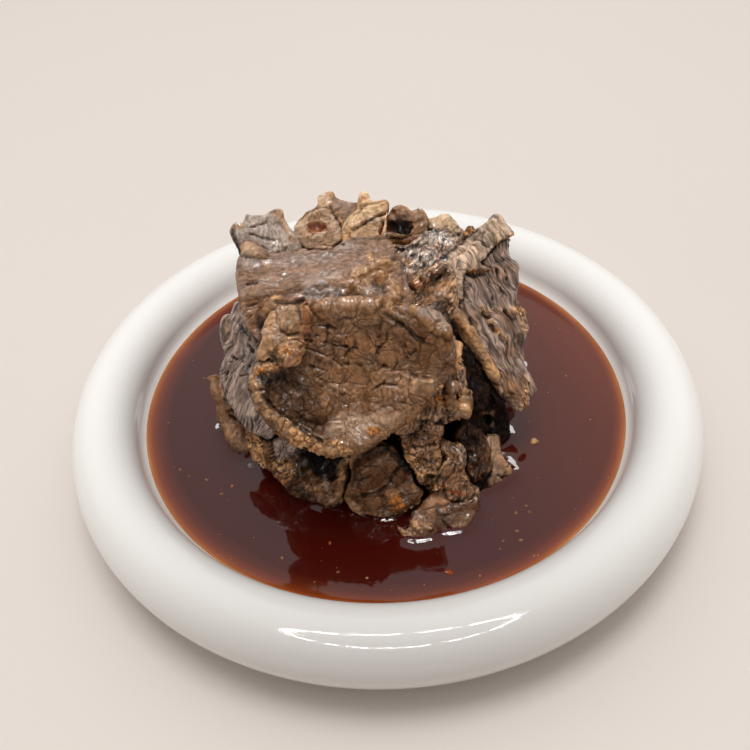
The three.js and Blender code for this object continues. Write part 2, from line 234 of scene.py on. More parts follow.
class Skin:
    """Surface of one piece of meat while it is shaped and coloured"""

    def __init__(self, node, voxel):
        self.node = node
        self.mesh = evenly_meshed(node, voxel)
        count = len(self.mesh.vertices)
        at = np.empty(3 * count)
        self.mesh.vertices.foreach_get("co", at)
        self.at = at.reshape(-1, 3) / MM
        edges = np.empty(2 * len(self.mesh.edges), int)
        self.mesh.edges.foreach_get("vertices", edges)
        self.ends = edges.reshape(-1, 2).T
        self.neighbours = np.maximum(np.bincount(self.ends.ravel(), minlength=count), 1)
        corners = np.empty(len(self.mesh.loops), int)
        self.mesh.loops.foreach_get("vertex_index", corners)
        self.quads = corners.reshape(-1, 4)
        self.tint = np.zeros((count, 3))
        self.wet = np.zeros(count)

    def averaged(self, values, rounds):
        """Values after each has moved halfway to its neighbours' mean, again and again"""
        a, b = self.ends
        values = values.copy()
        for _ in range(rounds):
            for k in range(values.shape[1]):
                column = values[:, k]
                total = np.bincount(a, column[b], len(column)) + np.bincount(b, column[a], len(column))
                values[:, k] = 0.5 * column + 0.5 * total / self.neighbours
        return values

    def normals(self):
        """Direction of the surface at each point"""
        a, b, c, d = (self.at[self.quads[:, k]] for k in range(4))
        flat = np.cross(c - a, d - b)
        total = np.zeros_like(self.at)
        for k in range(4):
            for axis in range(3):
                total[:, axis] += np.bincount(self.quads[:, k], flat[:, axis], len(total))
        return total / np.maximum(np.linalg.norm(total, axis=1, keepdims=True), TINY)

    def bulge(self, rounds):
        """How far each point stands out over the surface around it"""
        return ((self.at - self.averaged(self.at, rounds)) * self.normals()).sum(1)

    def raise_by(self, height):
        """Moves each point out along its normal"""
        self.at = self.at + self.normals() * height[:, None]

    def paint(self, colour, amount):
        """Covers the tint by a colour, as fully as the amount from 0 to 1 says at each point"""
        amount = np.clip(amount, 0, 1)[:, None]
        self.tint = self.tint * (1 - amount) + COLOURS[colour] * amount
        if colour in DULL:
            self.wet = self.wet * (1 - DULLED * amount[:, 0])

    def tree(self):
        """The surface as a tree for rays"""
        return BVHTree.FromPolygons(self.at.tolist(), self.quads.tolist())

    def finish(self):
        """Moves the mesh's own points and gives them what the materials read"""
        self.mesh.vertices.foreach_set("co", (self.at * MM).ravel())
        self.mesh.update()
        with_attributes(
            self.mesh, grain=self.grain, tint=self.tint, wet=self.wet, net=self.net, speck=self.speck
        )


def axes_of(azimuth, elevation, grain):
    """Along the fibres, across them, and out of the face. Grain is the fibres' angle on the face from its
    right-hand side, or None where they run out of the face."""
    a, e = math.radians(azimuth), math.radians(elevation)
    out = np.array([math.sin(a) * math.cos(e), -math.cos(a) * math.cos(e), math.sin(e)])
    up = np.array([-math.sin(a) * math.sin(e), math.cos(a) * math.sin(e), math.cos(e)])
    side = np.cross(up, out)
    if grain is None:
        return np.array([out, side, up])
    g = math.radians(grain)
    along = math.cos(g) * side + math.sin(g) * up
    return np.array([along, np.cross(out, along), out])


def billows(at, seed, layers=3):
    """Rounded lumps with creases between them, from 0 in the creases upwards"""
    return sum(np.abs(noise(at * 2**i, seed + i)) / 1.7**i for i in range(layers))


# Relief of each kind of surface. Each function takes places along the grain, places in the scene, a slow
# drift that bends the grain, and a seed. It gives heights in millimetres, and how much of a crevice each
# point is.
def cut_relief(grain, at, drift, seed):
    """Cut across the grain: bundles with fine cracks between them"""
    _, lead, shade = cells((grain + 1.6 * drift) / np.array([9, 5.2, 4.4]), seed)
    open_here = ramp(noise(at / 5, seed + 1), -0.6, 0.2)
    crack = (1 - ramp(lead, 0.0, 0.16)) * open_here
    fine = noise((grain + drift) / np.array([4, 2.2, 2.0]), seed + 2)
    waves = noise((grain + drift) / np.array([7, 7, 6]), seed + 3)
    return 0.12 * shade + 0.1 * fine - 0.28 * crack + 0.25 * waves, 0.75 * crack + 0.1 * ramp(-fine, 0.1, 0.8)


def fibre_relief(grain, at, drift, seed):
    """Cut along the grain: long wavy fibres with grooves between them"""
    wavy = grain + 2.2 * drift
    coarse = noise(wavy / np.array([26, 2.2, 2.2]), seed + 1)
    fine = noise(wavy / np.array([14, 1.1, 1.1]), seed + 2)
    here = ramp(noise(at / 5, seed + 6), -0.6, 0.2)
    groove = here * ramp(1 - 4 * np.abs(noise(wavy / np.array([30, 1.9, 1.9]), seed + 3)), 0, 1)
    lumpy = noise(at / 5, seed + 5)
    height = 0.22 * coarse + 0.1 * fine - 0.26 * groove + 0.35 * lumpy
    return height, 0.7 * groove + 0.25 * ramp(-coarse, 0.2, 0.8) + 0.3 * ramp(-fine, 0.1, 0.7)


def smooth_relief(grain, at, drift, seed):
    """Membrane: soft waves and a few creases"""
    waves = noise((grain + drift) / np.array([7, 4, 4]), seed + 1)
    small = noise((grain + drift) / np.array([4, 1.6, 1.6]), seed + 2)
    crease = ramp(1 - 7 * np.abs(noise((grain + 2 * drift) / np.array([9, 3.4, 3.4]), seed + 4)), 0, 1)
    crease *= ramp(noise(at / 5, seed + 5), -0.2, 0.4)
    return 0.4 * waves + 0.1 * small - 0.25 * crease, 0.55 * crease + 0.25 * ramp(-small, 0.2, 0.8)


def crumbly_relief(grain, at, drift, seed):
    """Fat and crust: uneven lumps and ridges"""
    lumps = billows((grain + 1.2 * drift) / np.array([5.0, 3.4, 3.4]), seed + 1, 3)
    return 1.0 * lumps - 0.4, 0.85 * (1 - ramp(lumps, 0.06, 0.3))


def ragged_relief(grain, at, drift, seed):
    """Torn meat: folds and lumps"""
    folds = billows((grain + 1.5 * drift) / np.array([7.5, 4.2, 4.2]), seed + 1, 3)
    fine = noise((grain + drift) / np.array([4, 1.2, 1.2]), seed + 3)
    height = 1.2 * folds + 0.08 * fine - 0.45
    return height, 0.85 * (1 - ramp(folds, 0.06, 0.34)) + 0.3 * ramp(-fine, 0.1, 0.7)


RELIEFS = {
    "cut": cut_relief,
    "fibre": fibre_relief,
    "smooth": smooth_relief,
    "crumbly": crumbly_relief,
    "ragged": ragged_relief,
}
# How far the edge of each kind frays, in millimetres
FRAYS = {"cut": 0.5, "fibre": 0.9, "smooth": 0.5, "crumbly": 0.6, "ragged": 0.9}
# How much finer the shader's texture is along the grain, across it and out of the face
FINENESS = {
    "cut": (0.6, 1, 1),
    "fibre": (0.16, 1, 1),
    "smooth": (0.6, 1, 1),
    "crumbly": (1, 1, 1),
    "ragged": (0.5, 1, 1),
}
# How much of a network of cracks shows on each kind
NETS = {"cut": 0.6, "fibre": 0.35, "smooth": 0.15, "crumbly": 0.4, "ragged": 0.35}
# How strongly each kind is speckled
SPECKS = {"cut": 0.4, "fibre": 0.9, "smooth": 0.4, "crumbly": 1.1, "ragged": 1.1}

# Each piece: kind of surface, the way its face looks (azimuth, elevation), its grain, its two colours, its
# edge's colour, how wet it is, and the size of its mesh in millimetres
PIECES = {
    "front_slice": ("cut", (0, 40), None, ("dusky", "brown"), "light brown", 0.5, 0.3),
    "fat_lump": ("smooth", (-20, 46), 60, ("light brown", "tan"), "tan", 0.6, 0.26),
    "top_slice": ("smooth", (0, 77), 10, ("taupe", "brown"), "light brown", 0.16, 0.36),
    "upright_slice": ("smooth", (-15, 50), 100, ("light grey", "light grey"), "light brown", 0.35, 0.3),
    "small_peak": ("crumbly", (20, 45), 80, ("brown", "tan"), "tan", 0.2, 0.3),
    "fat_strip": ("smooth", (38, 35), -60, ("tan", "light brown"), "tan", 0.4, 0.26),
    "right_slice": ("fibre", (38, 35), 97, ("grey", "taupe"), "light brown", 0.4, 0.33),
    "rolled_slice": ("smooth", (-5, 45), 30, ("tan", "pale"), "light brown", 0.35, 0.3),
    "fat_strands": ("smooth", (0, 60), 25, ("light tan", "tan"), "light tan", 0.4, 0.28),
    "dark_curl": ("smooth", (5, 50), 0, ("light brown", "brown"), "light brown", 0.5, 0.28),
    "wet_slice": ("ragged", (12, 60), 60, ("light grey", "brown"), "light grey", 0.8, 0.32),
    "peak_slice": ("smooth", (20, 50), 60, ("pale", "light tan"), "light brown", 0.3, 0.3),
    "tan_flap": ("ragged", (10, 45), 40, ("light brown", "brown"), "orange", 0.5, 0.3),
    "left_slice": ("fibre", (-42, 28), 80, ("grey", "grey"), "light brown", 0.5, 0.36),
    "under_slice": ("ragged", (18, 36), 75, ("light brown", "brown"), "tan", 0.6, 0.32),
    "low_left": ("ragged", (-16, 18), 60, ("deep brown", "brown"), "brown", 0.7, 0.4),
    "low_middle": ("cut", (3, 15), None, ("brown", "deep brown"), "brown", 0.6, 0.32),
    "neck_piece": ("crumbly", (12, 20), 80, ("brown", "light brown"), "tan", 0.6, 0.28),
    "sauce_piece": ("smooth", (15, 40), 20, ("light brown", "umber"), "light brown", 0.8, 0.28),
    "grey_lump": ("ragged", (20, 22), 60, ("brown", "brown"), "light brown", 0.8, 0.28),
    "right_lobe": ("smooth", (40, 30), 60, ("light brown", "light brown"), "light brown", 0.9, 0.28),
    "dark_lump": ("ragged", (25, 25), 70, ("deep brown", "soaked"), "brown", 0.8, 0.34),
    "left_foot": ("crumbly", (-32, 20), 60, ("brown", "tan"), "tan", 0.5, 0.32),
    "left_curl": ("smooth", (-48, 20), 80, ("light brown", "brown"), "light brown", 0.5, 0.34),
    # Black and soaked on these two: painted shade on pieces that lie deep in the heap
    "deep_slice": ("ragged", (30, 30), 80, ("black", "soaked"), "soaked", 0.1, 0.5),
    "deep_curl": ("ragged", (35, 20), 70, ("black", "soaked"), "soaked", 0.1, 0.48),
    "left_side_high": ("fibre", (-94, 32), 80, ("brown", "grey"), "light brown", 0.3, 0.6),
    "right_side_high": ("fibre", (98, 30), 70, ("brown", "grey"), "light brown", 0.3, 0.6),
    "rear_top": ("smooth", (172, 60), 20, ("light brown", "brown"), "light brown", 0.25, 0.7),
    "rear_left_high": ("fibre", (-130, 28), 75, ("grey", "brown"), "brown", 0.3, 0.62),
    "rear_middle": ("cut", (177, 28), None, ("brown", "deep brown"), "tan", 0.35, 0.7),
    "rear_right_high": ("fibre", (140, 28), 100, ("grey", "brown"), "brown", 0.3, 0.62),
    "rear_left_low": ("ragged", (-137, 18), 60, ("deep brown", "brown"), "brown", 0.6, 0.7),
    "rear_middle_low": ("ragged", (182, 16), 80, ("brown", "deep brown"), "tan", 0.6, 0.7),
    "rear_right_low": ("ragged", (138, 16), 70, ("deep brown", "brown"), "brown", 0.6, 0.7),
    "right_side_low": ("ragged", (86, 18), 70, ("deep brown", "brown"), "brown", 0.6, 0.7),
    "left_side_low": ("fibre", (-93, 20), 80, ("brown", "deep brown"), "brown", 0.6, 0.62),
    "second_slice": ("cut", (-4, 42), None, ("deep brown", "soaked"), "brown", 0.5, 0.7),
    "inner_meat": ("ragged", (0, 90), 0, ("soaked", "deep brown"), "soaked", 0.6, 1.6),
}

# What shows of a piece's outline: how thick its slab is in millimetres, and pixels round it. Sides that lie
# behind other pieces are drawn wide.
OUTLINES = {
    "upright_slice": (
        4, 231, 231, 234, 225, 236, 223, 240, 225, 249, 221, 246, 215, 252, 217, 264, 215, 270, 211, 276,
        209, 282, 210, 283, 218, 288, 227, 295, 237, 300, 247, 302, 268, 245, 278, 241, 262, 238, 250, 233,
        238,
    ),
    "rolled_slice": (
        5, 295, 237, 296, 229, 297, 224, 300, 220, 306, 213, 312, 211, 316, 208, 318, 204, 318, 197, 325,
        194, 331, 191, 334, 193, 335, 197, 340, 200, 348, 204, 352, 205, 362, 203, 366, 214, 360, 240, 350,
        256, 298, 258,
    ),
    "top_slice": (
        3, 240, 262, 244, 257, 244, 248, 245, 242, 254, 246, 262, 251, 268, 256, 285, 255, 300, 252, 315,
        251, 330, 249, 345, 242, 350, 238, 384, 238, 402, 262, 412, 300, 402, 326, 330, 330, 300, 336, 262,
        342, 255, 336, 249, 330, 245, 320, 242, 310, 240, 300, 238, 285, 238, 272,
    ),
    "wet_slice": (
        2, 384, 252, 392, 246, 402, 249, 410, 245, 418, 239, 424, 233, 436, 229, 446, 232, 456, 238, 464,
        246, 468, 258, 458, 270, 440, 284, 420, 296, 404, 294, 392, 280, 386, 266,
    ),
    "fat_strands": (
        3, 344, 224, 352, 216, 359, 209, 359, 200, 360, 195, 363, 192, 367, 194, 368, 199, 369, 203, 376,
        203, 385, 200, 389, 204, 387, 212, 385, 222, 384, 234, 386, 246, 382, 262, 350, 262, 344, 246, 342,
        232,
    ),
    "dark_curl": (
        3, 384, 222, 392, 207, 398, 205, 402, 205, 408, 207, 412, 211, 418, 214, 418, 208, 422, 208, 425,
        214, 427, 222, 428, 236, 418, 250, 390, 250, 384, 236,
    ),
    "peak_slice": (
        3, 422, 230, 426, 221, 431, 219, 437, 217, 442, 214, 448, 215, 453, 221, 458, 227, 464, 232, 470,
        242, 466, 262, 426, 262, 420, 240,
    ),
    "small_peak": (
        2, 461, 238, 464, 231, 467, 228, 470, 226, 474, 229, 478, 233, 482, 242, 480, 256, 462, 258, 458,
        246,
    ),
    "right_slice": (
        4, 474, 234, 483, 231, 490, 226, 494, 220, 498, 218, 500, 223, 504, 229, 510, 233, 509, 237, 512,
        240, 509, 242, 509, 250, 511, 260, 516, 262, 517, 268, 514, 274, 513, 277, 516, 278, 517, 285, 515,
        292, 517, 303, 520, 304, 519, 308, 524, 309, 524, 314, 526, 322, 527, 330, 526, 338, 523, 347, 523,
        366, 529, 374, 532, 384, 536, 393, 530, 396, 528, 403, 525, 408, 521, 412, 514, 409, 508, 402, 500,
        393, 492, 380, 486, 369, 478, 358, 468, 342, 458, 322, 448, 308, 440, 300, 436, 270, 442, 252, 458,
        244,
    ),
    "left_slice": (
        4, 221, 322, 223, 317, 228, 315, 232, 318, 234, 310, 235, 303, 241, 300, 262, 300, 290, 330, 290,
        400, 270, 440, 256, 434, 248, 428, 240, 419, 231, 405, 225, 396, 223, 384, 222, 370, 226, 356, 224,
        345, 222, 335, 220, 328,
    ),
    "left_curl": (
        3, 202, 378, 210, 375, 216, 374, 224, 378, 236, 390, 250, 410, 258, 430, 254, 446, 248, 452, 240,
        454, 233, 448, 227, 440, 221, 428, 217, 416, 216, 404, 213, 396, 210, 389, 211, 382,
    ),
    "low_middle": (
        3, 352, 455, 362, 446, 392, 446, 400, 458, 410, 470, 414, 484, 424, 492, 418, 503, 408, 508, 400,
        517, 385, 518, 372, 514, 360, 513, 350, 508, 344, 500, 345, 490, 350, 478, 350, 466,
    ),
    "low_left": (
        3, 266, 440, 280, 434, 300, 446, 318, 452, 345, 452, 350, 462, 346, 478, 343, 492, 342, 503, 330,
        504, 318, 502, 305, 498, 290, 487, 278, 476, 270, 468, 264, 456,
    ),
    "sauce_piece": (
        4, 397, 526, 400, 526, 405, 530, 411, 526, 411, 518, 414, 511, 419, 507, 424, 501, 432, 492, 446,
        486, 470, 484, 478, 488, 480, 500, 472, 512, 467, 522, 464, 532, 454, 538, 440, 543, 425, 546, 410,
        543, 402, 538,
    ),
    "right_lobe": (
        4, 476, 466, 482, 448, 488, 436, 497, 436, 500, 448, 504, 457, 510, 466, 515, 475, 511, 478, 513,
        482, 505, 486, 494, 491, 482, 494, 474, 488,
    ),
    "grey_lump": (
        4, 432, 452, 442, 444, 450, 444, 459, 446, 464, 453, 465, 460, 464, 470, 468, 480, 474, 492, 466,
        502, 446, 500, 432, 496, 424, 484, 430, 466,
    ),
    "neck_piece": (
        3, 402, 434, 412, 420, 440, 418, 443, 430, 438, 440, 437, 448, 440, 456, 439, 466, 434, 476, 430,
        484, 422, 482, 416, 474, 409, 467, 407, 452,
    ),
}


def looked_up(tree, x, y):
    """Where the line of sight through a pixel first meets a mesh, or None"""
    return tree.ray_cast(Vector(EYE), Vector(sight(x, y)))[0]


def outline_of(pixels):
    """Rows of x and y from one row of numbers"""
    return np.array(pixels, float).reshape(-1, 2)


# Columns and rows of the photograph that the meat takes up, a few pixels apart
MEAT_COLUMNS = range(200, 560, 4)
MEAT_ROWS = range(180, 560, 4)
# How much nearer and further than the solid's face a slab may lie, and how deep it is sunk, in millimetres
SLAB_NEARER = 1
SLAB_FURTHER = 2
SLAB_SUNK = 0.4


def slab_corners(tree, thickness, outline):
    """Front and back corners of a slab that shows as the outline and lies in the plane of the piece's face"""
    spots = np.array(list(itertools.product(MEAT_COLUMNS, MEAT_ROWS)), float)
    spots = spots[within(outline, spots)]
    met = [(x, y, looked_up(tree, x, y)) for x, y in spots]
    rows = np.array([(x, y, 1, 1 / ((np.array(p) - EYE) @ AHEAD)) for x, y, p in met if p is not None])
    plane = np.linalg.lstsq(rows[:, :3], rows[:, 3], rcond=None)[0]
    depth = 1 / (np.column_stack([outline, np.ones(len(outline))]) @ plane)
    depths = 1 / rows[:, 3]
    depth = np.clip(depth, depths.min() - SLAB_NEARER, depths.max() + SLAB_FURTHER) + SLAB_SUNK
    rays = np.array([sight(x, y) / (sight(x, y) @ AHEAD) for x, y in outline])
    return EYE + rays * depth[:, None], EYE + rays * (depth[:, None] + thickness)


def with_slab(mesh, node):
    """Adds a slab with the piece's own outline to its mesh"""
    thickness, *pixels = OUTLINES[node]
    outline = outline_of(pixels)
    points = [v.co / MM for v in mesh.vertices]
    tree = BVHTree.FromPolygons(points, [tuple(p.vertices) for p in mesh.polygons])
    front, back = slab_corners(tree, thickness, outline)
    solid = bmesh.new()
    solid.from_mesh(mesh)
    rings = [[solid.verts.new(Vector(p) * MM) for p in side] for side in (front, back)]
    count = len(outline)
    faces = [solid.faces.new(rings[0]), solid.faces.new(rings[1][::-1])]
    for i in range(count):
        j = (i + 1) % count
        faces.append(solid.faces.new([rings[0][j], rings[0][i], rings[1][i], rings[1][j]]))
    bmesh.ops.recalc_face_normals(solid, faces=faces)
    solid.to_mesh(mesh)
    solid.free()


# What shows up to this far outside its outline is moved onto it, and less of it further out, in millimetres
PRESS_WHOLE = 3.0
PRESS_NONE = 5.0


def pressed(skin):
    """Moves what shows outside the piece's outline onto it"""
    outline = outline_of(OUTLINES[skin.node][1:])
    at, scale = pixels_of(skin.at)
    outside = ~within(outline, at)
    best = np.full(len(at), FAR)
    move = np.zeros_like(at)
    for start, end in zip(outline, np.roll(outline, -1, axis=0)):
        run = end - start
        part = np.clip(((at - start) @ run) / (run @ run), 0, 1)
        gap = start + part[:, None] * run - at
        length = np.linalg.norm(gap, axis=1)
        nearer = length < best
        best = np.where(nearer, length, best)
        move = np.where(nearer[:, None], gap, move)
    share = (outside * (1 - ramp(best / scale, PRESS_WHOLE, PRESS_NONE)) / scale)[:, None]
    skin.at = skin.at + share * (move[:, :1] * RIGHT - move[:, 1:] * UP)


# Rounds of averaging: over the even mesh's steps, again after pressing, and to find what stands out
SMOOTHED = 9
SMOOTHED_AGAIN = 2
EDGE_ROUNDS = 30
CLOSING = 0.15  # how far each piece swells into the gaps round it, in millimetres
# Heights over the sauce up to which meat is soaked by it, and between which it gets drier
SOAKED_UP_TO = 5
WETTEST = 4
DRIER = 14


def textured(skin, kind, axes, colours, edge_colour, wetness, seed):
    """Gives a piece its relief and fraying edge, and its first colours"""
    skin.at = skin.averaged(skin.at, SMOOTHED)
    if skin.node in OUTLINES:
        pressed(skin)
        skin.at = skin.averaged(skin.at, SMOOTHED_AGAIN)
    edge = ramp(skin.bulge(EDGE_ROUNDS), 0.3, 0.9)
    skin.raise_by(np.full(len(skin.at), CLOSING))
    skin.grain = skin.at @ axes.T
    drift = np.stack([noise(skin.at / 5, seed + i) for i in (41, 42, 43)], 1)
    relief, cavity = RELIEFS[kind](skin.grain, skin.at, drift, seed)
    crumbs = layered(skin.at / 2.2, seed + 9, 2)
    lumps = layered(skin.at / 8, seed + 12, 2)
    skin.raise_by(relief + 0.6 * lumps + crumbs * (0.04 + edge * FRAYS[kind]))

    skin.grain = (skin.grain + 1.4 * drift) * np.array(FINENESS[kind])
    skin.net = NETS[kind] * ramp(noise(skin.at / 6, seed + 35), -0.5, 0.3)
    skin.speck = SPECKS[kind] * (0.75 + 0.4 * noise(skin.at / 5, seed + 37))
    skin.wet = np.clip(wetness + 0.5 * layered(skin.at / 4, seed + 30), 0, 1)
    tone = layered(skin.at / 6, seed + 20)
    skin.tint[:] = COLOURS[colours[0]]
    skin.paint(colours[1], ramp(tone, -0.5, 0.7))
    skin.paint(edge_colour, edge * ramp(crumbs, -0.7, 0.3) * 0.8)
    # Painted shade in the crevices of the relief
    skin.paint("soaked", 0.75 * cavity)
    above = skin.at[:, 2] + 2 * noise(skin.at / 5, seed + 33) - SAUCE_LEVEL
    skin.paint("soaked", 0.6 * (1 - ramp(above, 0.5, SOAKED_UP_TO)))
    skin.wet = np.maximum(skin.wet, 1.3 * wetness * (1 - ramp(above, WETTEST, DRIER)))


# Marks: features that show in the photograph, each drawn on the piece that carries it
# Height and height of its crumbs in millimetres, colour and how fully it covers, and change in wetness
MARKS = {
    # Crack, crease, hollow and hole sink the surface and are painted dark there as painted shade
    "crack": (-0.4, 0, "soaked", 0.95, 0),
    "crease": (-0.7, 0, "black", 0.85, 0.2),
    "hollow": (-1.3, 0.1, "black", 0.9, 0.3),
    "hole": (-2.6, 0, "black", 1.0, 0.5),
    "rust hole": (-2.2, 0.2, "rust", 1.0, 0.2),
    "shade": (0, 0, "black", 0.7, 0.2),
    "dim": (0, 0, "deep brown", 0.6, 0),
    # Black is painted shade in gaps and holes
    "black": (0, 0, "black", 0.85, 0.2),
    # Ridge raises a line and paints it lighter along its top as a painted highlight
    "ridge": (0.22, 0.1, "light brown", 0.6, 0.3),
    "lip": (0.9, 0, "brown", 0.3, 0),
    "swell": (1.3, 0.15, "brown", 0.2, 0),
    "crust": (0.3, 0.75, "tan", 0.65, 0.2),
    "orange": (0.15, 0.4, "orange", 0.5, 0.2),
    "fat": (0.3, 0.3, "tan", 0.85, 0.2),
    "tan": (0.1, 0.2, "tan", 0.7, 0.2),
    "pale": (0.1, 0.15, "pale", 0.6, 0),
    "grey": (0, 0, "grey", 0.75, 0),
    "bluish": (0, 0, "light grey", 0.5, 0.3),
    "light": (0, 0, "light brown", 0.7, 0),
    "rust": (0, 0, "rust", 0.85, 0.3),
    "umber": (0.6, 0.5, "umber", 0.95, 0.1),
    "brown": (0, 0, "brown", 0.8, 0),
    "deep brown": (0, 0, "deep brown", 0.8, 0.1),
    # Glitter is painted light grey where the wet meat glints, as a painted highlight, and made wetter
    "glitter": (0, 0.7, "light grey", 0.35, 0.9),
    "wet": (0, 0.15, "deep brown", 0.3, 0.9),
}
BROKEN = ("crack", "ridge", "fat")  # lines that fade in and out

